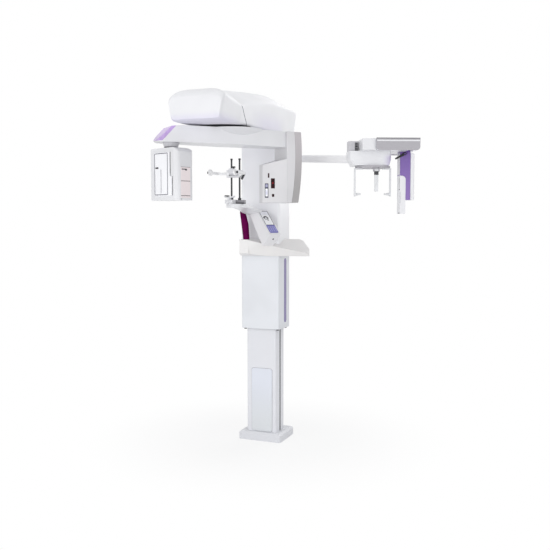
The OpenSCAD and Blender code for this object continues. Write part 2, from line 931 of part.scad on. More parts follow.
// Outline of the pocket that the cassette slides into, with a grip gap on the stepped side
module pocket_outline() {
  cassette_outline();
  translate([-pocket_gap, 0]) cassette_outline();
}

// Stands a shape on the detector's swivel, turned as the detector rests
module on_detector() {
  on_arm() translate([-det_x, 0, 0]) rotate(det_turn) children();
}

// Places an outline on the detector's outer face
module on_cassette() {
  translate([-det_d/2 - cassette_proud, 6, det_z + 22]) rotate([90, 0, 90]) children();
}

// Outline of the side panel, on the detector's narrow face
module panel_outline() {
  translate([0, det_z + 92]) rrect(62, 160, 3);
}

module detector_housing() color(white)
  on_detector() {
    difference() {
      intersection() {
        rbox(det_d, det_w, det_z, det_top, det_corner);
        along_x(-det_d, det_d)
          translate([0, (det_z + det_top)/2 - 20]) rrect(det_w, det_top - det_z + 40, 36);
      }
      on_cassette() linear_extrude(cassette_t) pocket_outline();
      along_y(-det_w/2 - 1, -det_w/2 + panel_t) panel_outline();
    }
    translate([0, 0, det_top]) cylinder(r = swivel_r, h = beam_z + 40 - det_top);
  }

module detector_cassette() color(white)
  on_detector() on_cassette() difference() {
    linear_extrude(cassette_t) cassette_outline();
    translate([3, 14, -1]) cube([4, 126, 3]);
  }

module detector_panel() color(rose)
  on_detector()
    difference() {
      along_y(-det_w/2 - 1, -det_w/2 + panel_t) panel_outline();
      for (z = [98, 22]) slab([-60, -det_w/2 - 2, det_z + z], [60, -det_w/2 + 0.5, det_z + z + 3]);
    }

// Head clamp

module clamp_carriage() color(grey)
  difference() {
    union() {
      translate([0, -rods_y, 0]) rbox(2*clamp_half, 24, clamp_z - clamp_h/2, clamp_z + clamp_h/2, 4);
      for (z = [clamp_z - clamp_h/2, clamp_z + clamp_h/2 - 6])
        slab([-clamp_half, -hinge_y - 9, z], [clamp_half, -rods_y, z + 6]);
      both_sides() translate([hinge_x, -hinge_y, clamp_z - clamp_h/2]) cylinder(r = hinge_r, h = clamp_h);
      translate([clamp_half, -rods_y, clamp_z]) rotate([0, 90, 0]) {
        cylinder(r = hinge_r + 4, h = lever_boss);
        cylinder(r = hinge_r, h = lever_boss + 12);
      }
      slab([-6, -hinge_y - 40, clamp_z + clamp_h/2], [6, -rods_y, clamp_z + clamp_h/2 + 8]);
      translate([0, -hinge_y - 40, clamp_z + clamp_h/2 - 8]) rotate([90, 0, 0]) cylinder(r = 16, h = 8);
    }
    both_sides()
      translate([rods_gap/2, -rods_y, 0]) cylinder(r = guide_r + fit, h = 3000);
  }

// One temple arm, on the +X side
module temple_arm() {
  z0 = clamp_z - clamp_h/2 + 6 + slide_fit;
  z1 = clamp_z + clamp_h/2 - 6 - slide_fit;
  difference() {
    union() {
      translate([hinge_x, -hinge_y, z0]) cylinder(r = hinge_r + 5, h = z1 - z0);
      translate([0, 0, z0 + 6]) linear_extrude(z1 - z0 - 12)
        polygon([[hinge_x, -hinge_y + 6], [temple_x + 5, -hinge_y - 36], [temple_x + 5, -temple_y],
                 [temple_x - 1, -temple_y], [temple_x - 1, -hinge_y - 32], [hinge_x, -hinge_y - 6]]);
      translate([temple_x - 9, -temple_y, clamp_z]) rotate([0, 90, 0]) cylinder(r = 17, h = 9);
    }
    translate([hinge_x, -hinge_y, z0 - 1]) cylinder(r = hinge_r + fit, h = clamp_h);
  }
}

module temple_arm_right() color(white) temple_arm();
module temple_arm_left() color(white) mirror([1, 0, 0]) temple_arm();

module lock_lever() color(dark)
  translate([clamp_half + lever_boss + slide_fit, -rods_y, clamp_z]) rotate([0, 90, 0])
    difference() {
      union() {
        cylinder(r = hinge_r + 5, h = 9);
        linear_extrude(9) polygon([[-5, 6], [5, 7], [34, -28], [26, -34]]);
      }
      translate([0, 0, -1]) cylinder(r = hinge_r + fit, h = 12);
    }

// Cephalometric unit

module ceph_bracket() color(white)
  difference() {
    slab([frame_in, cover_d/2, ceph_arm_z - 40], [frame_in + 78, cover_d/2 + 46, ceph_arm_z + 40]);
    slab([frame_in + 40, cover_d/2 + 16, ceph_arm_z - 41], [frame_in + 90, cover_d/2 + 60, ceph_arm_z - 26]);
  }

// Solid of the head housing, which the arm is cut against
module head_solid() {
  on_ceph() {
    intersection() {
      translate([(head_x[0] + head_x[1])/2, 0, 0])
        rbox(head_x[1] - head_x[0], 2*head_y, head_z, head_top, 22);
      along_y(-head_y, head_y)
        polygon([[head_x[0], head_top], [head_x[0], head_z + 1.5*head_slope], [head_x[0] + head_slope, head_z],
                 [head_x[1] - head_slope/2, head_z], [head_x[1], head_z + 1.5*head_slope], [head_x[1], head_top]]);
    }
    translate([(tower_x[0] + tower_x[1])/2, 0, 0])
      rbox(tower_x[1] - tower_x[0], 2*tower_y, head_top - 1, rail_z + rail_h, 6);
  }
}

module ceph_arm() color(white) {
  run = norm(arm_to - arm_from);
  heading = atan2(arm_to[1] - arm_from[1], arm_to[0] - arm_from[0]);
  difference() {
    translate([arm_from[0], arm_from[1], ceph_arm_z]) rotate([0, arm_tilt, heading])
      along_x(0, run + 40) rrect(ceph_arm_t, ceph_arm_t, 14);
    head_solid();
    slab([frame_in, cover_d/2, 0], [frame_in + 78, cover_d/2 + 46, 3000]);
    slab([-cover_w/2, -cover_d, 0], [cover_w/2, cover_d/2, 3000]);
    slab([-cover_w, -cover_d, 0], [frame_in, 2*cover_d, 3000]);
  }
}

module ceph_head() color(white)
  difference() {
    head_solid();
    on_ceph() translate([0, 0, head_z - 1]) cylinder(r = spindle_r + fit, h = spindle_l + 3);
  }

module ceph_junction() color(grey)
  on_ceph() translate([(head_x[0] + tower_x[0])/2 - 3, 0, 0])
    rbox(tower_x[0] - head_x[0] - 6, 70, head_top, rail_z + rail_h - 4, 5);

module rail_housing() color(white)
  on_ceph() difference() {
    translate([0, 0, 0]) slab([rail_x[0], -rail_l/2, rail_z], [rail_x[1], rail_l/2, rail_z + rail_h]);
    slab([tongue_x - tongue_w/2 - slide_fit, -rail_l/2 + rail_skin, rail_z - 1],
         [tongue_x + tongue_w/2 + slide_fit, rail_l/2 - rail_skin, rail_z + tongue_h + slide_fit]);
  }

// Outline of a rail end plate, with rounded lower corners
module end_outline() {
  translate([(rail_x[0] + rail_x[1])/2 + 1, rail_z - 4]) {
    translate([0, 38]) rrect(rail_x[1] - rail_x[0] + 10, 76, 20);
    translate([-(rail_x[1] - rail_x[0])/2 - 5, 30]) square([rail_x[1] - rail_x[0] + 10, rail_h - 24]);
  }
}

module rail_end_plates() color(grey)
  on_ceph() for (y = [-rail_l/2 - plate_end_t, rail_l/2])
    intersection() {
      along_y(y, y + plate_end_t) end_outline();
      slab([-500, -500, rail_z - 10], [500, 500, rail_z + rail_h + 2]);
    }

module turntable() color(grey)
  on_ceph() {
    difference() {
      union() {
        translate([0, 0, disc_z]) cylinder(r = disc_r, h = disc_t);
        translate([0, 0, disc_z + disc_t]) cylinder(r = spindle_r, h = spindle_l);
      }
      slab([-disc_r - 1, -rail_groove_w/2, disc_z - 1], [disc_r + 1, rail_groove_w/2, disc_z + rail_groove_d]);
    }
    for (s = [-1, 1])
      slab([nasion_at[0] + s*14 - 3, nasion_at[1] - 9, disc_z - 22], [nasion_at[0] + s*14 + 3, nasion_at[1] + 9, disc_z]);
    translate([nasion_at[0] - 14, nasion_at[1], nasion_z]) rotate([0, 90, 0]) cylinder(r = hinge_r, h = 28);
  }

// One ear arm, on the +X side of the ceph unit
module ear_arm() {
  tab = 7;
  low = disc_z - ear_l;
  slab([ear_x - 46, -rail_groove_w/2 + slide_fit, disc_z - tab - slide_fit],
       [ear_x - 12, rail_groove_w/2 - slide_fit, disc_z + rail_groove_d - slide_fit]);
  slab([ear_x - 46, -9, disc_z - tab - slide_fit], [ear_x, 9, disc_z - slide_fit]);
  slab([ear_x - 8, -9, low], [ear_x, 9, disc_z - slide_fit]);
  translate([ear_x - 8, 0, low + 12]) rotate([0, -90, 0]) cylinder(r1 = 9, r2 = 4, h = 30);
}

module ear_arm_right() color(pearl) on_ceph() ear_arm();
module ear_arm_left() color(pearl) on_ceph() mirror([1, 0, 0]) ear_arm();

module nasion_rest() color(pearl)
  on_ceph() translate([nasion_at[0], nasion_at[1], nasion_z])
    difference() {
      union() {
        rotate([0, 90, 0]) cylinder(r = 8, h = 22 - 2*slide_fit, center = true);
        slab([-10.5, -5, -nasion_l], [10.5, 5, 0]);
        translate([0, 5, -nasion_l + 14]) rotate([-90, 0, 0]) cylinder(r = 10, h = 7);
      }
      rotate([0, 90, 0]) cylinder(r = hinge_r + fit, h = 40, center = true);
    }

// Side view of the sensor bracket: a block with a leg down its back
module bracket_side() {
  difference() {
    translate([sensor_x, bracket_low]) square([bracket_back - sensor_x, bracket_top - bracket_low]);
    translate([sensor_x - 1, bracket_low - 1])
      square([bracket_back - bracket_web - sensor_x + 1, notch_z - notch_r - bracket_low + 1]);
    translate([sensor_x - 1, bracket_low - 1])
      square([bracket_back - bracket_web - notch_r - sensor_x + 1, notch_z - bracket_low + 1]);
    translate([bracket_back - bracket_web - notch_r, notch_z - notch_r]) circle(notch_r);
  }
}

module sensor_bracket() color(violet)
  on_ceph() {
    along_y(-sensor_w/2, sensor_w/2) bracket_side();
    slab([tongue_x - tongue_w/2, -sensor_w/2, bracket_top], [tongue_x + tongue_w/2, sensor_w/2, rail_z + tongue_h]);
    translate([lever_at[0], -sensor_w/2, lever_at[1]]) rotate([90, 0, 0]) cylinder(r = hinge_r, h = 10);
  }

module bracket_cover() color(white)
  on_ceph() translate([bracket_back + cover_back_t/2, 0, 0])
    rbox(cover_back_t, sensor_w, bracket_low, bracket_top - 8, 7);

module ceph_sensor() color(white)
  on_ceph() {
    gap = bracket_back - bracket_web;
    difference() {
      slab([sensor_x, -sensor_w/2 + 2, sensor_z], [gap, sensor_w/2 - 2, notch_z - notch_r]);
      slab([sensor_x - 1, -sensor_w/2, sensor_z + 60], [sensor_x + 5, -sensor_w/2 + 12, sensor_z + 120]);
    }
    slab([sensor_x, -sensor_w/2 + 2, notch_z - notch_r], [gap - notch_r, sensor_w/2 - 2, notch_z]);
    translate([gap - notch_r, sensor_w/2 - 2, notch_z - notch_r]) rotate([90, 0, 0]) intersection() {
      cylinder(r = notch_r - fit, h = sensor_w - 4);
      cube([notch_r, notch_r, sensor_w]);
    }
  }

module release_lever() color(dark)
  on_ceph() translate([lever_at[0], -sensor_w/2 - slide_fit, lever_at[1]]) rotate([90, 0, 0])
    difference() {
      union() {
        cylinder(r = hinge_r + 5, h = 8);
        linear_extrude(8) polygon([[-2, 7], [2, -7], [-50, -32], [-54, -24]]);
      }
      translate([0, 0, -1]) cylinder(r = hinge_r + fit, h = 10);
    }

floor_plate();
base_cover();
column();
service_door();
lift_actuator();
wall_bracket();
carriage_frame();
guide_pads();
lift_rod();
lower_cover();
accent_strips();
upper_cover();
shelf();
hand_grip();
console();
display_panel();
keypad();
support_arm();
guide_rods();
chin_base();
rod_block();
chin_rest();
bite_block();
crown_plate();
crown_rear();
crown_front_shell();
slew_bearing();
rotation_motor();
ceph_bracket();
ceph_arm();
ceph_head();
ceph_junction();
rail_housing();
rail_end_plates();
arm_hub();
arm_beam();
beam_tip();
arm_fin();
fin_edge();
tube_housing();
tube_block();
laser_windows();
light_slider();
swivel_collar();
detector_housing();
detector_cassette();
detector_panel();
clamp_carriage();
temple_arm_left();
temple_arm_right();
lock_lever();
turntable();
ear_arm_left();
ear_arm_right();
nasion_rest();
sensor_bracket();
bracket_cover();
ceph_sensor();
release_lever();
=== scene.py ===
"""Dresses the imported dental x-ray scanner: softened mouldings, controls, trims, finishes, stage and camera."""
import json
import math

import bpy
import bmesh
from bpy.props import FloatProperty, FloatVectorProperty, IntProperty, PointerProperty
from mathutils import Matrix, Vector

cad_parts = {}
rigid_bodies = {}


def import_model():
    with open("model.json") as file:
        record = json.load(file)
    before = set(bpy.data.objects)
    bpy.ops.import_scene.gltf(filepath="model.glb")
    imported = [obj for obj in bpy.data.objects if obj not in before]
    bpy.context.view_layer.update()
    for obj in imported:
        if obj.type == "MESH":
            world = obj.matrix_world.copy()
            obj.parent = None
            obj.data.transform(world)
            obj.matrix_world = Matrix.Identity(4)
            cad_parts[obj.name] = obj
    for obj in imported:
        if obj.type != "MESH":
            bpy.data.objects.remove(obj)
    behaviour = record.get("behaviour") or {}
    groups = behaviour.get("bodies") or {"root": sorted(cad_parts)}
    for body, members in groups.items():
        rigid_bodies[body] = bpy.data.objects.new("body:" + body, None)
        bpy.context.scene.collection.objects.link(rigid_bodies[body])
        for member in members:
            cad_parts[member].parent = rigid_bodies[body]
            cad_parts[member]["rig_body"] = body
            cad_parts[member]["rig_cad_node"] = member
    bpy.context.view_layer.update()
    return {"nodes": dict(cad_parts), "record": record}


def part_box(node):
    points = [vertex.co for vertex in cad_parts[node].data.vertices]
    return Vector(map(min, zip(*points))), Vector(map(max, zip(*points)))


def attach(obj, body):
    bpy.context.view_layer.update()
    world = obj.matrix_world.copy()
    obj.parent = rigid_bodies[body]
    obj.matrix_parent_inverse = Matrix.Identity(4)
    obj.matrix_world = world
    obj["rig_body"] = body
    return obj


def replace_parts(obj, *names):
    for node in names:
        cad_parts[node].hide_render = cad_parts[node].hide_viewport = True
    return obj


bl_info = {
    "name": "Dental scanner dressing",
    "version": (1, 0, 0),
    "blender": (4, 5, 0),
    "location": "View3D > Sidebar > Scanner",
    "description": "Softens the scanner's mouldings, adds its controls and trims, and gives each piece its finish",
    "category": "Object",
}

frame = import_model()
NODES = frame["nodes"]
BODY_OF = {n: b for b, ns in frame["record"]["behaviour"]["bodies"].items() for n in ns}
MM = 0.001


def turn(degrees, axis):
    return Matrix.Rotation(math.radians(degrees), 4, axis)


def shift(x, y, z):
    return Matrix.Translation(Vector((x, y, z)) * MM)


# Places of the main units in the frame's own axes, in millimetres and degrees
AXIS_Y = -580
SWIVEL_X = -304
DET_Z = 1472
DET_TOP = DET_Z + 273
TUBE_Z = 1466
TUBE_SLANT = -math.degrees(math.atan2(58, 96))
LAMP_Z = TUBE_Z + 107
SLIDER_Z = TUBE_Z + 56
CEPH_X, CEPH_Y, CEPH_TURN = 747, -252, 25
RAIL_Z = 1741
NASION_Z = 1641
TEMPLE_Y, TEMPLE_Z = -598, 1628
ROD_X, ROD_Y, ROD_FOOT, ROD_TOP = 25, -432, 1483, 1706.2
ON_ARM = shift(0, AXIS_Y, 0) @ turn(50, "Z")
ON_SWIVEL = ON_ARM @ shift(SWIVEL_X, 0, 0)
ON_DETECTOR = ON_SWIVEL @ turn(18, "Z")
ON_TUBE_SIDE = ON_ARM @ shift(226, -20, 0) @ turn(TUBE_SLANT, "Z")
ON_CEPH = shift(CEPH_X, CEPH_Y, 0) @ turn(CEPH_TURN, "Z")
ON_CONSOLE = shift(97, -182, 1357) @ turn(-30, "Z") @ turn(48, "Y")
FACE_OUT = turn(90, "X")


# Sizes and colours that a user would change

def colour(name, text, value):
    return FloatVectorProperty(name=name, description=text, subtype="COLOR", size=3, min=0, max=1, default=value)


def length(name, text, value):
    return FloatProperty(name=name, description=text, default=value * MM, min=0, unit="LENGTH", precision=4)


class ScannerColours(bpy.types.PropertyGroup):
    shell: colour("Shell", "White of the moulded covers", (0.80, 0.805, 0.83))
    enamel: colour("Enamel", "White of the painted metal", (0.772, 0.782, 0.82))
    door: colour("Door", "Bluish white of the service door", (0.755, 0.785, 0.86))
    cool: colour("Cool white", "Bluish white of the lower cover", (0.73, 0.75, 0.785))
    warm: colour("Warm white", "Warm white of the shelf", (0.80, 0.79, 0.785))
    pearl: colour("Pearl", "Pale grey of the housings", (0.735, 0.73, 0.75))
    grey: colour("Grey", "Grey of the trims", (0.42, 0.41, 0.44))
    dark: colour("Dark", "Dark grey of rods, blocks and levers", (0.035, 0.035, 0.04))
    lilac: colour("Lilac", "Lilac of the beam's tip", (0.47, 0.32, 0.66))
    violet: colour("Violet", "Violet of the sensor bracket and strips", (0.13, 0.045, 0.33))
    plum: colour("Plum", "Plum of the hand grip", (0.10, 0.0005, 0.052))
    steel: colour("Steel", "Plain steel", (0.52, 0.53, 0.55))
    film: colour("Film", "White film of the display", (0.93, 0.94, 0.96))
    keys: colour("Keys", "Violet-blue of the key film", (0.15, 0.15, 0.46))
    glass: colour("Window", "Dark red of the light windows", (0.022, 0.0006, 0.003))
    rose: colour("Rose", "Rose tint of the detector's side panel", (0.84, 0.76, 0.77))
    clear: colour("Frosted", "Frosted plastic of the ear and nose arms", (0.72, 0.73, 0.75))
    temple: colour("Temple", "Milky plastic of the temple arms", (0.93, 0.935, 0.945))


class ScannerSizes(bpy.types.PropertyGroup):
    edge: length("Edge", "Softening of the covers' edges", 2.5)
    fine_edge: length("Fine edge", "Softening of small pieces' edges", 0.8)
    key: length("Key", "Side of one key", 11)
    key_gap: length("Key gap", "Gap between two keys", 4)
    key_rows: IntProperty(name="Key rows", description="Rows of keys on the console", default=3, min=1, max=5)
    key_columns: IntProperty(name="Key columns", description="Keys in each row", default=4, min=1, max=6)
    frame_line: length("Frame line", "Width of the dark line round the display", 3.0)
    door_line: length("Door line", "Width of the grey line round the service door", 1.8)


# Modelling helpers

def take(piece):
    """Selects one piece alone and makes it active."""
    bpy.ops.object.select_all(action="DESELECT")
    piece.select_set(True)
    bpy.context.view_layer.objects.active = piece
    return piece


def pick_faces(piece, test):
    """Selects, in edit mode, the faces whose centre and normal pass the test."""
    bpy.ops.mesh.select_mode(type="FACE")
    bpy.ops.mesh.select_all(action="DESELECT")
    mesh = bmesh.from_edit_mesh(piece.data)
    for face in mesh.faces:
        face.select_set(test(face.calc_center_median(), face.normal))
    bmesh.update_edit_mesh(piece.data)


def named(piece, name):
    """Gives the piece and its mesh their name."""
    piece.name = name
    piece.data.name = name
    return piece


def start(name, kind="cube", **settings):
    """Adds a primitive of the given kind at the origin, as the start of a piece."""
    bpy.ops.object.select_all(action="DESELECT")
    getattr(bpy.ops.mesh, f"primitive_{kind}_add")(**settings)
    return named(bpy.context.object, name)


def bare(name):
    """Starts a piece without any points, and leaves it in edit mode."""
    piece = start(name, "circle", vertices=3, radius=MM)
    bpy.ops.object.mode_set(mode="EDIT")
    bpy.ops.mesh.select_all(action="SELECT")
    bpy.ops.mesh.delete(type="VERT")
    return piece


def round_edges(piece, width, steps=2, angle=35):
    """Bevels the edges sharper than the angle and evens the shading of the flat faces."""
    take(piece)
    bevel = piece.modifiers.new("Soft edge", "BEVEL")
    bevel.width = width
    bevel.segments = steps
    bevel.limit_method = "ANGLE"
    bevel.angle_limit = math.radians(angle)
    bpy.ops.object.modifier_apply(modifier=bevel.name)
    bpy.ops.object.shade_smooth_by_angle(angle=math.radians(max(angle, 50)))
    even = piece.modifiers.new("Even faces", "WEIGHTED_NORMAL")
    even.keep_sharp = True
    bpy.ops.object.modifier_apply(modifier=even.name)
    return piece


def put(piece, place):
    """Moves the piece to its place and leaves its object at the origin."""
    take(piece)
    piece.matrix_world = place
    bpy.ops.object.transform_apply(location=True, rotation=True, scale=True)
    return piece


def block(name, size, soft=0.5, steps=2, crown=0.0):
    """A bevelled block in millimetres about the origin; crown raises the middle of its top."""
    piece = start(name, size=1)
    bpy.ops.object.mode_set(mode="EDIT")
    bpy.ops.mesh.select_all(action="SELECT")
    bpy.ops.transform.resize(value=[s * MM for s in size])
    if crown:
        slope = min(size[:2]) * 0.22
        pick_faces(piece, lambda centre, normal: normal.z > 0.9)
        bpy.ops.mesh.inset(thickness=slope * MM, depth=crown * MM)
    bpy.ops.object.mode_set(mode="OBJECT")
    return round_edges(piece, soft * MM, steps, angle=20)


def rounded_plate(name, width, depth, height, radius, soft=0.3):
    """A plate with rounded upright corners, standing on z = 0."""
    piece = start(name, size=1)
    bpy.ops.object.mode_set(mode="EDIT")
    bpy.ops.mesh.select_all(action="SELECT")
    bpy.ops.transform.translate(value=(0, 0, 0.5))
    bpy.ops.transform.resize(value=(width * MM, depth * MM, height * MM), center_override=(0, 0, 0))
    bpy.ops.mesh.select_mode(type="EDGE")
    bpy.ops.mesh.select_all(action="DESELECT")
    mesh = bmesh.from_edit_mesh(piece.data)
    for edge in mesh.edges:
        a, b = (v.co for v in edge.verts)
        edge.select_set(abs(a.z - b.z) > 1e-6)
    bmesh.update_edit_mesh(piece.data)
    bpy.ops.mesh.bevel(offset=radius * MM, segments=6, affect="EDGES")
    bpy.ops.object.mode_set(mode="OBJECT")
    return round_edges(piece, soft * MM, 2, angle=50)


def ring_plate(name, width, depth, height, radius, line):
    """A thin frame line: a rounded plate whose middle is cut through."""
    piece = rounded_plate(name, width, depth, height, radius, soft=0.12)
    bpy.ops.object.mode_set(mode="EDIT")
    pick_faces(piece, lambda centre, normal: abs(normal.z) > 0.9 and centre.xy.length < 0.2 * width * MM)
    bpy.ops.mesh.inset(thickness=line * MM)
    bpy.ops.mesh.bridge_edge_loops()
    bpy.ops.object.mode_set(mode="OBJECT")
    return piece


def turned(name, profile, sides=40):
    """A turned piece about Z: the (radius, height) points in millimetres are spun round the axis."""
    if profile[0][0] > 0:
        profile = [*profile, profile[0]]
    piece = bare(name)
    mesh = bmesh.from_edit_mesh(piece.data)
    dots = [mesh.verts.new((r * MM, 0, z * MM)) for r, z in profile]
    for a, b in zip(dots, dots[1:]):
        mesh.edges.new((a, b))
    bmesh.update_edit_mesh(piece.data)
    bpy.ops.mesh.select_all(action="SELECT")
    bpy.ops.mesh.spin(steps=sides, angle=2 * math.pi, center=(0, 0, 0), axis=(0, 0, 1))
    bpy.ops.mesh.select_all(action="SELECT")
    bpy.ops.mesh.remove_doubles(threshold=1e-6)
    bpy.ops.mesh.normals_make_consistent(inside=False)
    bpy.ops.object.mode_set(mode="OBJECT")
    take(piece)
    bpy.ops.object.shade_smooth_by_angle(angle=math.radians(40))
    return piece


def screw(name, radius, height):
    """A button-head screw with a sunk middle, standing on z = 0."""
    piece = start(name, "cylinder", vertices=36, radius=radius * MM, depth=height * MM,
                  location=(0, 0, height * MM / 2))
    bpy.ops.object.transform_apply(location=True)
    bpy.ops.object.mode_set(mode="EDIT")
    pick_faces(piece, lambda centre, normal: normal.z > 0.9)
    bpy.ops.mesh.inset(thickness=radius * 0.18 * MM, depth=height * 0.25 * MM)
    bpy.ops.mesh.inset(thickness=radius * 0.32 * MM)
    bpy.ops.mesh.inset(thickness=0.02 * MM, depth=-height * 0.7 * MM)
    bpy.ops.object.mode_set(mode="OBJECT")
    return round_edges(piece, 0.15 * MM, 2, angle=35)


def joined(name, pieces):
    """Joins several pieces into one."""
    bpy.ops.object.select_all(action="DESELECT")
    for piece in pieces:
        piece.select_set(True)
    bpy.context.view_layer.objects.active = pieces[0]
    if len(pieces) > 1:
        bpy.ops.object.join()
    return named(bpy.context.object, name)


def copies(model, places):
    """One piece for each place, each with its own mesh; the model itself takes the first place."""
    made = [model]
    for _ in places[1:]:
        take(model)
        bpy.ops.object.duplicate(linked=False)
        made.append(bpy.context.object)
    return [put(piece, place) for piece, place in zip(made, places)]


def dress(piece, body, look):
    """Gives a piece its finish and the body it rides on."""
    piece.data.materials.clear()
    piece.data.materials.append(LOOKS[look])
    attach(piece, body)
    return piece


def copy_of(node, name):
    """A loose copy of a solid with its doubles merged, left in edit mode with all of it selected."""
    take(NODES[node])
    bpy.ops.object.duplicate(linked=False)
    piece = named(bpy.context.object, name)
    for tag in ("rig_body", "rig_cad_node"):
        del piece[tag]
    piece.parent = None
    take(piece)
    bpy.ops.mesh.customdata_custom_splitnormals_clear()
    bpy.ops.object.mode_set(mode="EDIT")
    bpy.ops.mesh.select_all(action="SELECT")
    bpy.ops.mesh.remove_doubles(threshold=1e-5)
    return piece


def soften(node, width, look, steps=3, angle=35, slot=None, cut=None):
    """Replaces a solid by a copy of it with softened edges, after cut, if any, is taken off it."""
    piece = copy_of(node, f"{node}_moulding")
    bpy.ops.mesh.dissolve_limited(angle_limit=math.radians(0.4))
    bpy.ops.object.mode_set(mode="OBJECT")
    if cut:
        take_off(piece, cut)
    round_edges(piece, width * MM, steps, angle)
    dress(piece, BODY_OF[node], look)
    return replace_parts(piece, node)


def soften_each(*rows):
    """Softens several solids; each row holds what soften takes, in its order."""
    for row in rows:
        soften(*row)


def take_off(piece, cutter):
    """Cuts the cutter's form out of the piece and removes the cutter."""
    take(piece)
    hollow = piece.modifiers.new("Cut", "BOOLEAN")
    hollow.operation = "DIFFERENCE"
    hollow.object = cutter
    bpy.ops.object.modifier_apply(modifier=hollow.name)
    take(cutter)
    bpy.ops.object.delete()


def far_edge():
    """The waste outside a rounded upper edge, on the detector's side away from the cassette."""
    side, top, reach, steps = 58, DET_TOP, 34, 12
    spare, half_run = 2, 140
    arc = [math.radians(90 * k / steps) for k in range(steps + 1)]
    outline = [(side - reach, top + spare), (side + spare, top + spare), (side + spare, top - reach)]
    outline += [(side - reach * (1 - math.cos(a)), top - reach * (1 - math.sin(a))) for a in arc]
    piece = bare("edge_waste")
    mesh = bmesh.from_edit_mesh(piece.data)
    mesh.faces.new([mesh.verts.new((x * MM, -half_run * MM, z * MM)) for x, z in outline])
    bmesh.update_edit_mesh(piece.data)
    bpy.ops.mesh.select_all(action="SELECT")
    bpy.ops.mesh.extrude_region_move(TRANSFORM_OT_translate={"value": (0, 2 * half_run * MM, 0)})
    bpy.ops.mesh.select_all(action="SELECT")
    bpy.ops.mesh.normals_make_consistent(inside=False)
    bpy.ops.object.mode_set(mode="OBJECT")
    return put(piece, ON_DETECTOR)


def slice_line(name, node, normal, spot, width, proud):
    """A thin band that follows a solid's skin: a copy of it, cut to a slice and made slightly fatter."""
    piece = copy_of(node, name)
    out = Vector(normal).normalized()
    middle = Vector((0, *spot)) * MM
    for side in (1, -1):
        bpy.ops.mesh.select_all(action="SELECT")
        bpy.ops.mesh.bisect(plane_co=middle + out * side * width / 2 * MM, plane_no=out * side, use_fill=True,
                            clear_outer=True)
    bpy.ops.mesh.select_all(action="SELECT")
    bpy.ops.mesh.normals_make_consistent(inside=False)
    bpy.ops.transform.shrink_fatten(value=proud * MM)
    bpy.ops.object.mode_set(mode="OBJECT")
    return dress(piece, BODY_OF[node], "line")


def paint(look, *nodes):
    """Gives solids that stay as they are their finish."""
    for node in nodes:
        NODES[node].data.materials.clear()
        NODES[node].data.materials.append(LOOKS[look])


# Shader helpers

class Wire:
    """A node's output socket that takes part in Python sums."""

    def __init__(self, tree, socket):
        self.tree = tree
        self.socket = socket

    def sum(self, operation, left, right=None):
        node = self.tree.nodes.new("ShaderNodeMath")
        node.operation = operation
        for place, value in zip(node.inputs, (left, right)):
            if isinstance(value, Wire):
                self.tree.links.new(value.socket, place)
            elif value is not None:
                place.default_value = value
        return Wire(self.tree, node.outputs[0])

    def __add__(self, other):
        return self.sum("ADD", self, other)

    __radd__ = __add__

    def __sub__(self, other):
        return self.sum("SUBTRACT", self, other)

    def __rsub__(self, other):
        return self.sum("SUBTRACT", other, self)

    def __mul__(self, other):
        return self.sum("MULTIPLY", self, other)

    __rmul__ = __mul__

    def __truediv__(self, other):
        return self.sum("DIVIDE", self, other)

    def __pow__(self, other):
        return self.sum("POWER", self, other)

    def over(self, limit):
        return self.sum("GREATER_THAN", self, limit)

    def under(self, limit):
        return self.sum("LESS_THAN", self, limit)

    def size(self):
        return self.sum("ABSOLUTE", self)

    def held(self):
        """Kept between 0 and 1."""
        node = self.tree.nodes.new("ShaderNodeClamp")
        self.tree.links.new(self.socket, node.inputs[0])
        return Wire(self.tree, node.outputs[0])

    def rise(self, low, high):
        """0 below low, 1 above high, smooth between."""
        node = self.tree.nodes.new("ShaderNodeMapRange")
        node.interpolation_type = "SMOOTHSTEP"
        self.tree.links.new(self.socket, node.inputs["Value"])
        node.inputs["From Min"].default_value = low
        node.inputs["From Max"].default_value = high
        return Wire(self.tree, node.outputs[0])


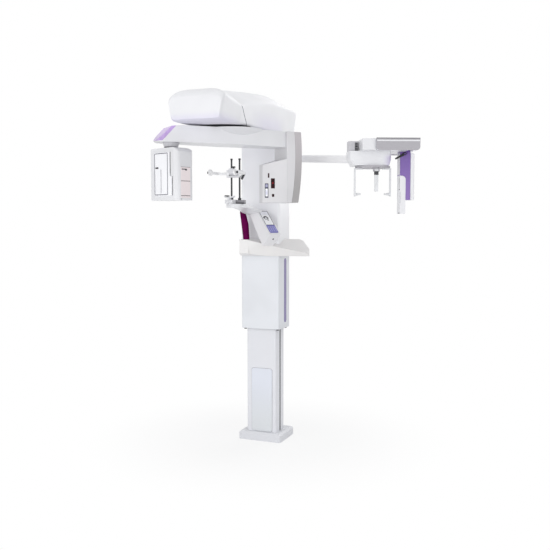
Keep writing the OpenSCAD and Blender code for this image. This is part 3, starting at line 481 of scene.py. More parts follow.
class Finish:
    """One material: its tree, its shader, and the place on the piece."""

    def __init__(self, name, roughness=0.4, metallic=0.0, coat=0.0, coat_roughness=0.1, specular=0.5):
        self.material = bpy.data.materials.new(name)
        self.material.use_nodes = True
        self.tree = self.material.node_tree
        self.shader = self.tree.nodes["Principled BSDF"]
        for socket, value in (("Roughness", roughness), ("Metallic", metallic), ("Coat Weight", coat),
                              ("Coat Roughness", coat_roughness), ("Specular IOR Level", specular)):
            self.shader.inputs[socket].default_value = value
        self.place = self.node("ShaderNodeTexCoord", out="Object")
        self.x, self.y, self.z = (
            Wire(self.tree, s) for s in self.node("ShaderNodeSeparateXYZ", Vector=self.place).socket.node.outputs)

    def node(self, kind, settings=None, out=0, **inputs):
        """Adds a node: settings first, then the values or wires of its sockets."""
        node = self.tree.nodes.new(kind)
        for key, value in (settings or {}).items():
            setattr(node, key, value)
        for key, value in inputs.items():
            self.feed(node.inputs[key.replace("_", " ")], value)
        return Wire(self.tree, node.outputs[out])

    def feed(self, socket, value):
        """Links a wire to the socket, or sets a plain value on it."""
        if isinstance(value, Wire):
            self.tree.links.new(value.socket, socket)
        elif hasattr(value, "__len__") and len(socket.default_value) == 4:
            socket.default_value = (*value[:3], 1.0)
        else:
            socket.default_value = value

    def stretched(self, scale):
        return self.node("ShaderNodeMapping", Vector=self.place, Scale=scale)

    def noise(self, scale, detail=2.0, roughness=0.5, vector=None):
        return self.node("ShaderNodeTexNoise", Vector=vector or self.place, Scale=scale, Detail=detail,
                         Roughness=roughness)

    def mix(self, share, one, two):
        node = self.tree.nodes.new("ShaderNodeMix")
        node.data_type = "RGBA"
        for index, value in ((0, share), (6, one), (7, two)):
            self.feed(node.inputs[index], value)
        return Wire(self.tree, node.outputs[2])

    def grain(self, height, strength, distance=0.0006):
        bump = self.node("ShaderNodeBump", Height=height, Strength=strength, Distance=distance)
        self.tree.links.new(bump.socket, self.shader.inputs["Normal"])

    def end(self, base, **sockets):
        """Feeds the shader's colour and other sockets, and gives the finished material."""
        self.feed(self.shader.inputs["Base Color"], base)
        for key, value in sockets.items():
            self.feed(self.shader.inputs[key.replace("_", " ")], value)
        return self.material


NEAR_BLACK = (0.03, 0.03, 0.035)
# Lilac of the painted shading on the crown's white moulding
PAINTED_LILAC_SHADING = (0.56, 0.51, 0.80)


def tone(base, factor):
    """The colour made darker or paler, never past full."""
    return tuple(min(1.0, c * factor) for c in base)


def blend(one, two, share):
    """A colour between two others."""
    return tuple(a + (b - a) * share for a, b in zip(one, two))


def moulded(name, base, roughness=0.34, coat=0.12, peel=0.10, drift=0.05, tint=None):
    """Satin moulding: slow drift of tone, orange-peel skin and fine handling marks."""
    finish = Finish(name, coat=coat, coat_roughness=0.18, specular=0.45)
    slow = finish.noise(3.2, 2.0)
    skin = finish.noise(420.0, 2.0)
    marks = finish.noise(46.0, 4.0, 0.65, finish.stretched((1.0, 1.0, 0.35)))
    shade = finish.mix(slow.rise(0.35, 0.65), tone(base, 1 - drift), tone(base, 1 + drift * 0.4))
    if tint:
        shade = tint(finish, shade)
    finish.grain(skin, peel)
    return finish.end(shade, Roughness=roughness + (marks - 0.5) * 0.16 + (slow - 0.5) * 0.06)


def crown_painted_lilac_shading(finish, shade):
    """Painted lilac shading low on the crown's nose and on its rear flanks."""
    low = 1 - finish.z.rise(1.870, 1.922)
    nose = 1 - finish.y.rise(-0.86, -0.60)
    flank = (1 - finish.z.rise(1.90, 2.0)) * finish.y.rise(-0.62, -0.30) * (1 - finish.y.rise(-0.20, 0.0))
    share = ((low * nose) * 0.34 + flank * 0.26).held()
    return finish.mix(share, shade, PAINTED_LILAC_SHADING)


def head_painted_violet_shading(finish, shade):
    """Painted violet shade and reflection on the end of the head that faces the bracket."""
    swing = math.radians(CEPH_TURN)
    along = (finish.x - CEPH_X * MM) * math.cos(swing) + (finish.y - CEPH_Y * MM) * math.sin(swing)
    low = 1 - finish.z.rise(1.70, 1.735)
    return finish.mix(along.rise(0.035, 0.095) * low * 0.75, shade, (0.36, 0.30, 0.52))


def door_tint(finish, shade):
    """Greyer towards the foot of the service door."""
    return finish.mix(finish.z.rise(0.08, 0.40), (0.715, 0.74, 0.765), shade)


def groove_painted_shade(finish, shade):
    """Painted shade inside the guide grooves in the column's sides."""
    wide = finish.x.size()
    inside = finish.y.size().under(0.0081) * wide.over(0.083) * wide.under(0.0974)
    return finish.mix(inside * 0.96, shade, (0.035, 0.035, 0.045))


def fin_edge_painted_shading(finish, shade):
    """Painted shading on the fin's edge: darker and browner low down, paler towards the top."""
    return finish.mix(finish.z.rise(1.50, 1.84), finish.mix(0.7, shade, (0.375, 0.365, 0.355)),
                      finish.mix(0.7, shade, (0.57, 0.535, 0.55)))


def foot_tint(finish, shade):
    """Dark lower edge of the rods' block."""
    return finish.mix(finish.z.under(1.4665), shade, NEAR_BLACK)


def bite_tint(finish, shade):
    """Dark bar on the bite block's white post."""
    return finish.mix(finish.z.over(1.4985), shade, NEAR_BLACK)


def powder(name, base, roughness=0.42, tint=None):
    """Powder-coated metal: fine pebbled skin with slight tone drift and faint dust low down."""
    finish = Finish(name, specular=0.45)
    pebbles = finish.node("ShaderNodeTexVoronoi", {"feature": "SMOOTH_F1"}, Vector=finish.place, Scale=900.0)
    slow = finish.noise(2.4, 2.0)
    fine = finish.noise(180.0, 3.0)
    shade = finish.mix(slow.rise(0.35, 0.65), tone(base, 0.965), tone(base, 1.015))
    dust = (1 - finish.z.rise(0.0, 0.16)) * fine.rise(0.35, 0.75)
    shade = finish.mix(dust * 0.10, shade, (0.60, 0.58, 0.56))
    if tint:
        shade = tint(finish, shade)
    finish.grain(pebbles, 0.07, 0.0004)
    return finish.end(shade, Roughness=roughness + (fine - 0.5) * 0.14)


def spark(name, base, roughness=0.45, grain=0.22, speck=0.08, tint=None):
    """Spark-eroded plastic: fine matt texture with slow changes of gloss."""
    finish = Finish(name, specular=0.4)
    pits = finish.noise(760.0, 3.0, 0.6)
    slow = finish.noise(9.0, 2.0)
    shade = finish.mix(pits.rise(0.3, 0.7), tone(base, 1 - speck), tone(base, 1 + speck))
    if tint:
        shade = tint(finish, shade)
    finish.grain(pits, grain, 0.0004)
    return finish.end(shade, Roughness=roughness + (slow - 0.5) * 0.18)


def pearl_lacquer(name, base, ramp, coat=0.5):
    """Lacquer with a slow change of tone along the piece and fine pearl flakes."""
    finish = Finish(name, coat=coat, coat_roughness=0.08, roughness=0.36)
    flakes = finish.node("ShaderNodeTexVoronoi", {"feature": "F1"}, Vector=finish.place, Scale=1400.0, out="Color")
    speck = finish.node("ShaderNodeSeparateColor", Color=flakes)
    shade = ramp(finish, base)
    shade = finish.mix(speck.over(0.86) * 0.16, shade, tone(base, 1.9))
    wear = finish.noise(60.0, 3.0)
    return finish.end(shade, Roughness=0.32 + (wear - 0.5) * 0.14)


def tip_ramp(finish, base):
    """Paler towards the top of the beam's tip."""
    up = finish.z.rise(1.775, 1.862)
    return finish.mix(up, tone(base, 0.86), tone(base, 1.12))


def violet_ramp(finish, base):
    """Darker at the top of the bracket and paler towards its foot and on the strips."""
    up = finish.z.rise(1.50, 1.74)
    strip = 1 - finish.x.rise(0.2, 0.4)
    pale = finish.mix(up, (0.195, 0.10, 0.385), tone(base, 0.92))
    return finish.mix(strip, pale, (0.15, 0.118, 0.32))


def soft_touch(name, base):
    """Rubbery coating with a fine skin, a little worn to a sheen at the hand's place."""
    finish = Finish(name, specular=0.04, roughness=0.55)
    skin = finish.noise(950.0, 3.0, 0.6)
    slow = finish.noise(14.0, 3.0)
    worn = (1 - ((finish.z - 1.33).size() / 0.10)).held()
    shade = finish.mix(slow.rise(0.35, 0.7), tone(base, 0.82), tone(base, 1.18))
    finish.grain(skin, 0.18, 0.0004)
    return finish.end(shade, Roughness=0.58 - worn * 0.14 + (skin - 0.5) * 0.10)


def brushed(name, base, along=(1.0, 1.0, 0.02), roughness=0.34):
    """Brushed metal: fine lines along one axis."""
    finish = Finish(name, metallic=1.0, roughness=roughness)
    lines = finish.noise(900.0, 3.0, 0.6, finish.stretched(along))
    cloud = finish.noise(12.0, 2.0)
    shade = finish.mix(lines.rise(0.3, 0.7), tone(base, 0.86), tone(base, 1.08))
    finish.grain(lines, 0.08, 0.0003)
    return finish.end(shade, Roughness=roughness + (lines - 0.5) * 0.18 + (cloud - 0.5) * 0.08)


def film(name, base, roughness=0.2, coat=0.6, drift=0.04, specular=0.5):
    """Printed film under a clear coat, with faint finger marks."""
    finish = Finish(name, coat=coat, coat_roughness=0.06, roughness=roughness, specular=specular)
    smears = finish.noise(70.0, 4.0, 0.65)
    shade = finish.mix(smears.rise(0.3, 0.7), tone(base, 1 - drift), tone(base, 1 + drift))
    return finish.end(shade, Roughness=roughness + (smears - 0.5) * 0.16)


def lamp(name, base, glow, level):
    """Small digits of which only the bars at one height are lit."""
    finish = Finish(name, roughness=0.3, coat=0.05, specular=0.12)
    spots = finish.noise(700.0, 1.0)
    lit = (finish.z - level).size().under(0.002)
    shade = finish.mix(spots.rise(0.35, 0.65), tone(base, 0.7), base)
    shade = finish.mix(lit, tone(base, 0.08), shade)
    finish.shader.inputs["Emission Strength"].default_value = glow
    return finish.end(shade, Emission_Color=shade)


def frosted(name, base):
    """Frosted clear plastic, milky with a slow haze."""
    finish = Finish(name, roughness=0.38, coat=0.2, coat_roughness=0.2)
    haze = finish.noise(26.0, 3.0)
    fine = finish.noise(520.0, 2.0)
    shade = finish.mix(haze.rise(0.3, 0.7), tone(base, 0.93), tone(base, 1.06))
    finish.grain(fine, 0.08)
    return finish.end(shade, Roughness=0.34 + (haze - 0.5) * 0.2)


LOOKS = {}


def make_finishes(c):
    """Makes every finish once, from the user's colours."""
    LOOKS.update(
        shell=moulded("Satin white moulding", c.shell),
        # The shell's white made lighter: painted light on the upper cover and the cassette
        bright=moulded("White moulding with painted light", tone(c.shell, 1.1)),
        cool=moulded("Cool white moulding", c.cool),
        warm=moulded("Warm white moulding", c.warm),
        # The pearl made darker: painted shade on the fin
        fin=moulded("Fin moulding", tone(c.pearl, 0.93)),
        # The shell's white made darker: painted shade on the detector's housing
        detector=moulded("Detector moulding", tone(c.shell, 0.92)),
        # The crown's white, with painted lilac shading
        crown=moulded("Hood moulding", c.shell, roughness=0.46, coat=0.04, tint=crown_painted_lilac_shading),
        # The shell's white made lighter: painted light on the crown's rear shell, which also takes the painted lilac
        # shading
        crown_rear=moulded("Hood rear moulding", tone(c.shell, 1.03), roughness=0.46, coat=0.04, tint=crown_painted_lilac_shading),
        # The shell's white made a little darker: painted shade on the beam
        beam=moulded("Beam moulding", tone(c.shell, 0.955)),
        enamel=powder("White powder coat", c.enamel),
        # The enamel made a little darker: painted shade on the base cover
        base=powder("Base powder coat", tone(c.enamel, 0.94)),
        # The column's white, with painted shade in its grooves
        column=powder("Column powder coat", c.enamel, tint=groove_painted_shade),
        door=powder("Door powder coat", c.door, tint=door_tint),
        pearl=moulded("Pearl grey moulding", tone(c.pearl, 0.96), roughness=0.40, coat=0.05, peel=0.16),
        console=moulded("Console moulding", tone(c.pearl, 1.1), roughness=0.40, coat=0.05, peel=0.16),
        grey=spark("Matt grey plastic", c.grey),
        # Grey with painted shading from top to foot
        fin_edge=spark("Fin edge plastic", c.grey, tint=fin_edge_painted_shading),
        pale_grey=spark("Pale grey plastic", blend(c.grey, c.shell, 0.45), speck=0.04),
        black=spark("Matt black plastic", tone(c.dark, 0.3), roughness=0.55),
        clamp=spark("Clamp plastic", tone(c.shell, 0.98), speck=0.04),
        dark=spark("Matt dark plastic", c.dark, roughness=0.48),
        lilac=pearl_lacquer("Lilac pearl lacquer", c.lilac, tip_ramp),
        violet=pearl_lacquer("Violet lacquer", c.violet, violet_ramp, coat=0.35),
        plum=soft_touch("Plum soft coating", c.plum),
        rubber=soft_touch("Pale silicone", (0.88, 0.885, 0.90)),
        steel=brushed("Plain brushed steel", c.steel),
        screw=brushed("Turned screw steel", tone(c.steel, 0.9), (1.0, 0.05, 1.0), 0.28),
        film=film("Display film", c.film),
        glass=film("Screen glass", (0.84, 0.85, 0.91), 0.2, 0.4),
        ink=film("Dark display print", (0.02, 0.02, 0.035), 0.3, 0.4, 0.2),
        line=film("Dark frame line", (0.03, 0.028, 0.07), 0.4, 0.12, 0.2),
        keys=film("Key film", c.keys, 0.34, 0.2, 0.10),
        key_mark=film("Key print", (0.36, 0.36, 0.68), 0.36, 0.2, 0.06),
        red=film("Tinted red window", c.glass, 0.3, 0.03, 0.3, 0.12),
        rod_block=spark("Rod block plastic", tone(c.grey, 0.62), tint=foot_tint),
        bite=spark("Bite block plastic", c.shell, speck=0.03, tint=bite_tint),
        # Paler than the enamel of the same painted metal: painted light on the arm, which the main unit shades
        ceph_arm=powder("Arm powder coat", (0.95, 0.952, 0.965)),
        slider=film("Slider print", (0.36, 0.36, 0.52), 0.36, 0.2, 0.06),
        led=lamp("Lit red digits", (0.55, 0.012, 0.03), 0.4, (LAMP_Z + 2) * MM),
        shade_grey=spark("Shaded grey plastic", tone(c.grey, 0.45)),
        # Pale violet of the bracket's flank, lightened further towards white as painted light
        mauve=pearl_lacquer("Pale violet lacquer", blend(c.violet, c.shell, 0.9), tip_ramp, coat=0.3),
        # White head with painted violet shading at its end
        head=moulded("Head moulding", c.shell, tint=head_painted_violet_shading),
        rose=spark("Rose panel", c.rose, roughness=0.5, grain=0.12, speck=0.03),
        frosted=frosted("Frosted arm plastic", c.clear),
        temple=frosted("Milky arm plastic", c.temple),
    )


# Operators; the places in them are in millimetres, on the unit that carries the piece

class SCANNER_OT_base(bpy.types.Operator):
    """Softens the base, the column's door and the wall bracket, outlines the door and paints the column"""
    bl_idname = "scanner.base"
    bl_label = "Base and column"

    def execute(self, context):
        sizes = context.scene.scanner_sizes
        soften_each(("base_cover", sizes.edge / MM, "base"), ("service_door", 1.2, "door"))
        low, high = (Vector(corner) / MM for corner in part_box("service_door"))
        line = sizes.door_line / MM
        outline = ring_plate("door_line", high.x - low.x + 2 * line, high.z - low.z + 2 * line, 0.6, 15, line)
        place = shift((low.x + high.x) / 2, high.y, (low.z + high.z) / 2) @ FACE_OUT
        dress(put(outline, place), BODY_OF["service_door"], "grey")
        soften("wall_bracket", 1.5, "enamel")
        # The column's finish holds painted shade in its grooves
        paint("column", "column")
        paint("steel", "floor_plate")
        paint("dark", "lift_actuator")
        return {"FINISHED"}


class SCANNER_OT_carriage(bpy.types.Operator):
    """Softens the carriage's covers, the shelf and the hand grip, and adds the clips under the covers"""
    bl_idname = "scanner.carriage"
    bl_label = "Carriage covers"

    def execute(self, context):
        edge = context.scene.scanner_sizes.edge / MM
        soften_each(("lower_cover", edge, "cool"), ("upper_cover", edge, "bright"), ("shelf", 7, "warm", 4),
                    ("accent_strips", 0.6, "violet"), ("hand_grip", 4, "plum", 4, 40), ("support_arm", 5, "shell", 4))
        paint("steel", "carriage_frame", "lift_rod")
        paint("dark", "guide_pads")
        clip_x, clip_y, clip_z = 108, 62, 696
        clip = block("cover_clip", (13, 16, 9), 1.5, 3)
        corners = [shift(sign_x * clip_x, sign_y * clip_y, clip_z) for sign_x in (-1, 1) for sign_y in (-1, 1)]
        dress(joined("cover_clips", copies(clip, corners)), "carriage", "dark")
        return {"FINISHED"}


class SCANNER_OT_console(bpy.types.Operator):
    """Builds the console with its display, keys and screw"""
    bl_idname = "scanner.console"
    bl_label = "Console"

    def execute(self, context):
        sizes = context.scene.scanner_sizes
        soften_each(("console", 7, "console", 4), ("display_panel", 0.3, "film"), ("keypad", 0.3, "keys"))
        face = ON_CONSOLE @ shift(0, 0, 0.6)

        frame_line = ring_plate("display_frame", 112, 64, 0.5, 8, sizes.frame_line / MM)
        dress(put(frame_line, face @ shift(-30, 0, 0)), "carriage", "line")
        glass = rounded_plate("display_glass", 26, 57, 0.4, 4)
        dress(put(glass, face @ shift(-69, 0, 0)), "carriage", "glass")

        bend, dots, first, step = 14, 7, -75, 25
        arch = []
        for k in range(dots):
            swing = math.radians(first + step * k)
            dot = turned("arch_dot", [(0, 0), (5.2, 0), (5.2, 0.3), (4.6, 0.55), (0, 0.6)], 20)
            arch.append(put(dot, face @ shift(-27 - bend * math.cos(swing), bend * math.sin(swing) - 5, 0)))
        bars = [put(block("arch_bar", (5, w, 0.7), 0.2), face @ shift(-22 + 9 * k, 9 - w / 2, 0.2))
                for k, w in enumerate((26, 9))]
        dress(joined("display_icon", arch + bars), "carriage", "ink")

        pad_middle = 57
        pitch = (sizes.key + sizes.key_gap) / MM
        key = block("key", (sizes.key / MM, sizes.key / MM, 1.2), 0.35, 3, crown=0.25)
        rows, columns = sizes.key_rows, sizes.key_columns
        places = [face @ shift(pad_middle + (i - (rows - 1) / 2) * pitch, (j - (columns - 1) / 2) * pitch, 0.5)
                  for i in range(rows) for j in range(columns)]
        dress(joined("console_keys", copies(key, places)), "carriage", "key_mark")

        head = screw("console_screw", 5.0, 2.0)
        end_face = ON_CONSOLE @ shift(99.6, 6, -40) @ turn(90, "Y")
        dress(put(head, end_face), "carriage", "dark")
        return {"FINISHED"}


class SCANNER_OT_head_support(bpy.types.Operator):
    """Softens the chin rest, the rods' block and the clamp, and adds their knobs, pads, caps and collars"""
    bl_idname = "scanner.head_support"
    bl_label = "Head support"

    def execute(self, context):
        fine = context.scene.scanner_sizes.fine_edge / MM
        soften_each(("chin_base", 2, "shell"), ("rod_block", 1.5, "rod_block"), ("chin_rest", 1.2, "shell"),
                    ("bite_block", fine, "bite"), ("guide_rods", fine, "dark"), ("clamp_carriage", fine, "clamp"),
                    ("lock_lever", 1.5, "dark"))
        pad_x, knob_x = 71, 85
        for side, sign in (("left", -1), ("right", 1)):
            body = f"temple_{side}"
            soften(f"temple_arm_{side}", fine, "temple")
            pad = turned(f"temple_pad_{side}", [(0, 0), (15, 0), (16, 1), (16, 2.5), (14, 4.2), (9, 5), (0, 5.2)])
            place = shift(sign * pad_x, TEMPLE_Y, TEMPLE_Z) @ turn(-90 * sign, "Y")
            dress(put(pad, place), body, "rubber")
            cap = turned(f"temple_knob_{side}", [(0, 0), (7, 0), (7.5, 0.8), (7, 5), (5.5, 6.2), (0, 6.4)])
            place = shift(sign * knob_x, TEMPLE_Y, TEMPLE_Z) @ turn(90 * sign, "Y")
            dress(put(cap, place), body, "dark")
        knob = turned("clamp_knob", [(0, 0), (5, 0), (5, 5), (9, 6), (9.6, 7), (9.6, 12), (8.6, 13.4), (0, 13.8)])
        dress(put(knob, shift(0, -456, 1656)), "head_clamp", "dark")
        cap = turned("rod_cap", [(0, 0), (6.4, 0), (6.8, 0.6), (6.8, 7), (5.6, 8.6), (0, 9)])
        tops = [shift(sign * ROD_X, ROD_Y, ROD_TOP) for sign in (-1, 1)]
        dress(joined("rod_caps", copies(cap, tops)), "carriage", "dark")
        foot = turned("rod_collar", [(5.2, 0), (9, 0), (9.5, 0.8), (9.5, 10), (8.2, 12), (5.2, 12)])
        spots = [shift(sign * ROD_X, ROD_Y, ROD_FOOT - 2 * (sign > 0)) for sign in (-1, 1)]
        dress(joined("rod_collars", copies(foot, spots)), "carriage", "dark")
        return {"FINISHED"}


class SCANNER_OT_crown(bpy.types.Operator):
    """Softens the crown's two shells and adds the seam between them and the dark ring under them, which paints the
    shade in the gap above the beam
    """
    bl_idname = "scanner.crown"
    bl_label = "Hood"

    def execute(self, context):
        soften("crown_front_shell", 3, "crown", angle=46)
        slice_line("crown_seam", "crown_rear", normal=(0, 1, 1.05), spot=(-641, 1925), width=3.4, proud=0.5)
        soften("crown_rear", 3, "crown_rear", angle=46)
        # A dark ring that paints the shade in the gap between the crown and the beam
        shade_ring = turned("crown_gap_shade", [(63, 0), (150, 0), (152, 0.8), (152, 2.2), (63, 2.2)], 72)
        dress(put(shade_ring, shift(0, AXIS_Y, 1869.6)), "carriage", "dark")
        paint("steel", "crown_plate", "rotation_motor")
        paint("dark", "slew_bearing")
        return {"FINISHED"}


class SCANNER_OT_arm(bpy.types.Operator):
    """Softens the rotating beam, its tip, fin and collar, and adds the ring at the collar's foot"""
    bl_idname = "scanner.arm"
    bl_label = "Rotating arm"

    def execute(self, context):
        soften_each(("arm_beam", 5, "beam", 4), ("beam_tip", 5, "lilac", 4), ("arm_fin", 3, "fin"),
                    ("fin_edge", 3, "fin_edge"))
        soften("swivel_collar", 2, "pale_grey", slot="pearl_shell")
        ring = turned("swivel_ring", [(33, 0.4), (35, 0.4), (35.6, 1), (37.4, 6.4), (36.9, 7), (34, 7)])
        dress(put(ring, ON_SWIVEL @ shift(0, 0, DET_TOP + 1)), "c_arm", "dark")
        paint("steel", "arm_hub")
        return {"FINISHED"}


class SCANNER_OT_tube(bpy.types.Operator):
    """Softens the x-ray housing and adds its lit digits and slider"""
    bl_idname = "scanner.tube"
    bl_label = "X-ray housing"

    def execute(self, context):
        soften_each(("tube_housing", 7, "pearl", 4), ("laser_windows", 0.4, "red"), ("light_slider", 0.4, "line"))
        paint("steel", "tube_block")
        side = ON_TUBE_SIDE @ shift(0, -0.6, 0)
        lamp_x, slider_x = 58, 23
        bars = ((0, 9, 7, 2.2), (0, 2, 7, 2.2), (0, -5, 7, 2.2), (3.5, 5.5, 2, 6), (-3.5, -1.5, 2, 6))
        digits = [put(block("digit_bar", (w, h, 0.8), 0.2), side @ shift(lamp_x + x, 0, LAMP_Z + z) @ FACE_OUT)
                  for x, z, w, h in bars]
        dress(joined("lamp_digits", digits), "c_arm", "led")
        knob = rounded_plate("slider_knob", 14, 44, 2.2, 3, 0.6)
        dress(put(knob, side @ shift(slider_x, 0, SLIDER_Z) @ FACE_OUT), "c_arm", "film")
        rib = block("slider_rib", (11, 1.6, 1.2), 0.4)
        ribs = copies(rib, [side @ shift(slider_x, -2.2, SLIDER_Z + 5 * k) @ FACE_OUT for k in (-2, -1, 0, 1, 2)])
        dress(joined("slider_ribs", ribs), "c_arm", "key_mark")
        mark = rounded_plate("slider_mark", 13, 16, 0.7, 2.5)
        dress(put(mark, side @ shift(slider_x, 0, SLIDER_Z + 38) @ FACE_OUT), "c_arm", "slider")
        return {"FINISHED"}


class SCANNER_OT_detector(bpy.types.Operator):
    """Softens the panoramic detector and adds the cassette's frame, slot and latch and the side panel's lines"""
    bl_idname = "scanner.detector"
    bl_label = "Panoramic detector"

    def execute(self, context):
        soften("detector_housing", 5, "detector", steps=4, cut=far_edge())
        soften_each(("detector_cassette", 1.2, "bright"), ("detector_panel", 0.6, "rose"))
        outer = ON_DETECTOR @ shift(-61, 6, DET_Z + 22) @ turn(-90, "Y") @ turn(-90, "Z")
        frame_line = ring_plate("cassette_frame", 112, 218, 0.7, 3, 3.2)
        dress(put(frame_line, outer @ shift(-3, 115, 0)), "detector", "line")
        slot = block("cassette_slot", (4.4, 124, 0.8), 0.2)
        dress(put(slot, outer @ shift(-5, 77, -1.2)), "detector", "line")
        latch = [put(block("latch_plate", (24, 8, 1.6), 0.5, 3, crown=0.5), outer @ shift(-38, 148, 0.7)),
                 put(block("latch_tab", (9, 5, 2.4), 0.6, 3, crown=0.6), outer @ shift(-30, 148, 1.6))]
        dress(joined("cassette_latch", latch), "detector", "dark")
        # Dark blocks that paint the shade in the gap beside the cassette
        dark_blocks = [put(block("gap_shade_block", (5.4, h, 0.8), 0.2), outer @ shift(x, y, -5.5))
                  for x, y, h in ((71, 166, 122), (88, 53, 98))]
        dress(joined("cassette_gap_shade", dark_blocks), "detector", "dark")

        panel = ON_DETECTOR @ shift(0, -118.6, DET_Z)
        lines = [put(block("panel_line", (61, 0.9, h), 0.2), panel @ shift(0, dy, z))
                 for dy, z, h in ((0.5, 99.5, 2.6), (0.5, 23.5, 2.6), (-0.5, 171, 1.6))]
        dress(joined("panel_lines", lines), "detector", "dark")
        plate = block("catch_plate", (34, 5, 1.4), 0.4, 3, crown=0.4)
        tab = block("catch_tab", (10, 9, 2.2), 0.5, 3, crown=0.6)
        catch = [put(plate, panel @ shift(-9, -0.6, 160) @ FACE_OUT),
                 put(tab, panel @ shift(2, -1.0, 158) @ FACE_OUT)]
        dress(joined("panel_catch", catch), "detector", "dark")
        low_corner = panel @ shift(-28, 0.6, 6) @ FACE_OUT
        dress(put(screw("detector_screw", 3.0, 1.6), low_corner), "detector", "screw")
        return {"FINISHED"}


class SCANNER_OT_ceph(bpy.types.Operator):
    """Softens the cephalometric arm, its head, rail, posts and sensor, and adds their trims and marks"""
    bl_idname = "scanner.ceph"
    bl_label = "Cephalometric unit"

    def execute(self, context):
        fine = context.scene.scanner_sizes.fine_edge / MM
        soften_each(("ceph_bracket", 3, "enamel"), ("ceph_arm", 2, "ceph_arm"), ("ceph_head", 5, "head", 4),
                    ("ceph_junction", 1.5, "pale_grey"), ("rail_housing", 2, "shell"),
                    ("rail_end_plates", fine, "grey"), ("turntable", fine, "grey"), ("ear_arm_left", fine, "frosted"),
                    ("ear_arm_right", fine, "frosted"), ("nasion_rest", fine, "frosted"),
                    ("sensor_bracket", 2.5, "violet"), ("bracket_cover", 2, "shell"), ("ceph_sensor", 2.5, "shell"),
                    ("release_lever", 1.5, "black"))

        for end, sign in (("front", -1), ("rear", 1)):
            plate = ON_CEPH @ shift(107, sign * 169, RAIL_Z)
            strip = block("rail_strip_" + end, (228, 1.2, 7), 0.3)
            dress(put(strip, plate @ shift(0, sign * 0.2, 47)), "carriage", "shell")
            lip = block("rail_lip_" + end, (232, 2.0, 4), 0.6)
            dress(put(lip, plate @ shift(0, sign * 0.4, 59)), "carriage", "shade_grey")
        # Dark bars that paint the shade on the junction box beside the tower
        bar = block("shade_bar", (16, 1.4, 7.4), 0.4)
        dark_bars = copies(bar, [ON_CEPH @ shift(-96, -35.2, RAIL_Z + 8 + 9 * k) for k in range(5)])
        dress(joined("junction_painted_shade", dark_bars), "carriage", "dark")
        hinge = block("nasion_sleeve", (23, 12, 20), 1.2, 3)
        dress(put(hinge, ON_CEPH @ shift(10, -62, NASION_Z - 18)), "nasion", "dark")

        # The flank plate's pale violet is partly its own colour, partly painted light
        flank = ON_CEPH @ shift(145, 0, 0) @ turn(-90, "Y")
        panel = rounded_plate("bracket_flank", 116, 70, 1.0, 5, 0.3)
        dress(put(panel, flank @ shift(RAIL_Z - 66, 0, 0)), "ceph_detector", "mauve")
        slit_z, button_z, foot_z = 1572, 1536, 1407
        button = turned("sensor_button", [(0, 0), (4.2, 0), (4.2, 1.2), (3.4, 1.9), (0, 2.1)], 28)
        marks = [put(block("sensor_slit", (52, 2.6, 0.8), 0.25), flank @ shift(slit_z, -22, 0.2)),
                 put(button, flank @ shift(button_z, -24, 0)),
                 put(block("sensor_foot", (6, 20, 1.6), 0.5), flank @ shift(foot_z, -20, 0.4))]
        dress(joined("sensor_marks", marks), "ceph_detector", "dark")
        return {"FINISHED"}


# Each lamp's name, place, aim, size and power
LAMPS = (
    ("Key lamp", (-2.6, -3.6, 2.6), (0, -0.3, 1.6), 2.6, 32),
    ("Front lamp", (0.9, -4.9, 1.3), (0.2, 0, 1.6), 3.0, 30),
    ("Low lamp", (-0.7, -3.3, 0.35), (0.45, -0.3, 1.7), 2.0, 19),
    ("Fill lamp", (3.6, -2.4, 1.5), (0.1, -0.2, 2.0), 2.6, 32),
    ("Top lamp", (0.2, -0.6, 4.2), (0, -0.3, 1.2), 2.4, 17),
    ("Rear lamp", (0.6, 3.2, 2.6), (0, 0, 1.3), 2.4, 44),
)


class SCANNER_OT_stage(bpy.types.Operator):
    """Sets the pale floor, the lamps, the white surroundings and the camera"""
    bl_idname = "scanner.stage"
    bl_label = "Stage"

    def execute(self, context):
        scene = context.scene
        scene.view_settings.view_transform = "Standard"
        floor = start("studio_floor", "circle", vertices=96, radius=3.0, fill_type="NGON")
        put(floor, shift(0, 0, -0.2))
        floor.data.materials.append(floor_finish())
        for name, spot, aim, size, power in LAMPS:
            data = bpy.data.lights.new(name, "AREA")
            data.energy = power
            data.size = size
            lamp_object = bpy.data.objects.new(name, data)
            scene.collection.objects.link(lamp_object)
            lamp_object.location = spot
            lamp_object.rotation_euler = (Vector(aim) - Vector(spot)).to_track_quat("-Z", "Y").to_euler()
        scene.world = white_surroundings()
        scene.camera = photo_camera(scene)
        return {"FINISHED"}


def light_seen(tree):
    """1 for rays that show the surroundings: straight, mirrored or through something clear."""
    rays = tree.nodes.new("ShaderNodeLightPath")
    return (Wire(tree, rays.outputs["Is Camera Ray"]) + Wire(tree, rays.outputs["Is Glossy Ray"])
            + Wire(tree, rays.outputs["Is Transmission Ray"])).held()


def mix_shaders(tree, share, one, two, end):
    """Mixes two shader nodes by the share and leads them to the tree's end."""
    both = tree.nodes.new("ShaderNodeMixShader")
    for place, socket in zip(both.inputs, (share.socket, one.outputs[0], two.outputs[0])):
        tree.links.new(socket, place)
    tree.links.new(both.outputs[0], tree.nodes[end].inputs[0])


def floor_finish():
    """White floor that keeps the object's shadow near it and fades out to plain white."""
    finish = Finish("Studio floor", roughness=0.9, specular=0.1)
    glow = finish.tree.nodes.new("ShaderNodeEmission")
    reach = (finish.x * finish.x + finish.y * finish.y) ** 0.5
    near_white = 0.80
    share = light_seen(finish.tree) * (near_white + reach.rise(0.25, 1.2) * (1 - near_white))
    mix_shaders(finish.tree, share, finish.shader, glow, "Material Output")
    speckle = finish.noise(40.0, 3.0)
    return finish.end(finish.mix(speckle, (0.80, 0.80, 0.81), (0.84, 0.84, 0.85)))


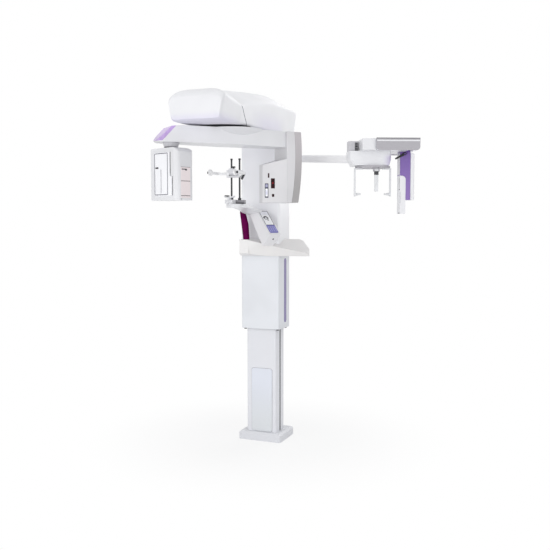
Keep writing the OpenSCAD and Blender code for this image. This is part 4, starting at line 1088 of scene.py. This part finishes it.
def white_surroundings():
    """White behind the object; softer light from all round."""
    world = bpy.data.worlds.new("White surroundings")
    world.use_nodes = True
    tree = world.node_tree
    back = tree.nodes["Background"]
    back.inputs[0].default_value = (0.965, 0.965, 0.97, 1)
    back.inputs[1].default_value = 0.58
    white = tree.nodes.new("ShaderNodeBackground")
    white.inputs[0].default_value = (1, 1, 1, 1)
    mix_shaders(tree, light_seen(tree), back, white, "World Output")
    return world


def photo_camera(scene):
    """Camera at the photograph's place, aimed past the column by so many pixels aside and down."""
    lens, sensor, pixels = 50, 36, 550
    aside, down = 9.5, 57
    data = bpy.data.cameras.new("Photo camera")
    data.lens = lens
    data.sensor_width = sensor
    camera = bpy.data.objects.new("Photo camera", data)
    scene.collection.objects.link(camera)
    spot = Vector((1.856, -4.372, 1.380))
    focal = pixels * lens / sensor
    heading = math.atan2(-spot.y, -spot.x) - math.atan(aside / focal)
    pitch = -math.atan(down / focal)
    camera.location = spot
    camera.rotation_euler = (math.pi / 2 + pitch, 0, heading - math.pi / 2)
    return camera


class SCANNER_PT_dressing(bpy.types.Panel):
    """Lists the scanner's pieces and their settings"""
    bl_label = "Scanner dressing"
    bl_idname = "SCANNER_PT_dressing"
    bl_space_type = "VIEW_3D"
    bl_region_type = "UI"
    bl_category = "Scanner"

    def draw(self, context):
        column = self.layout.column()
        for step in STEPS:
            column.operator(step.bl_idname)
        for group in (context.scene.scanner_colours, context.scene.scanner_sizes):
            for key in group.bl_rna.properties.keys():
                if key not in ("rna_type", "name"):
                    column.prop(group, key)


STEPS = (SCANNER_OT_base, SCANNER_OT_carriage, SCANNER_OT_console, SCANNER_OT_head_support, SCANNER_OT_crown,
         SCANNER_OT_arm, SCANNER_OT_tube, SCANNER_OT_detector, SCANNER_OT_ceph, SCANNER_OT_stage)
CLASSES = (ScannerColours, ScannerSizes, *STEPS, SCANNER_PT_dressing)


def register():
    for item in CLASSES:
        bpy.utils.register_class(item)
    bpy.types.Scene.scanner_colours = PointerProperty(type=ScannerColours)
    bpy.types.Scene.scanner_sizes = PointerProperty(type=ScannerSizes)


def unregister():
    del bpy.types.Scene.scanner_sizes
    del bpy.types.Scene.scanner_colours
    for item in reversed(CLASSES):
        bpy.utils.unregister_class(item)


def main():
    register()
    make_finishes(bpy.context.scene.scanner_colours)
    for step in STEPS:
        group, name = step.bl_idname.split(".")
        getattr(getattr(bpy.ops, group), name)()


if __name__ == "__main__":
    main()
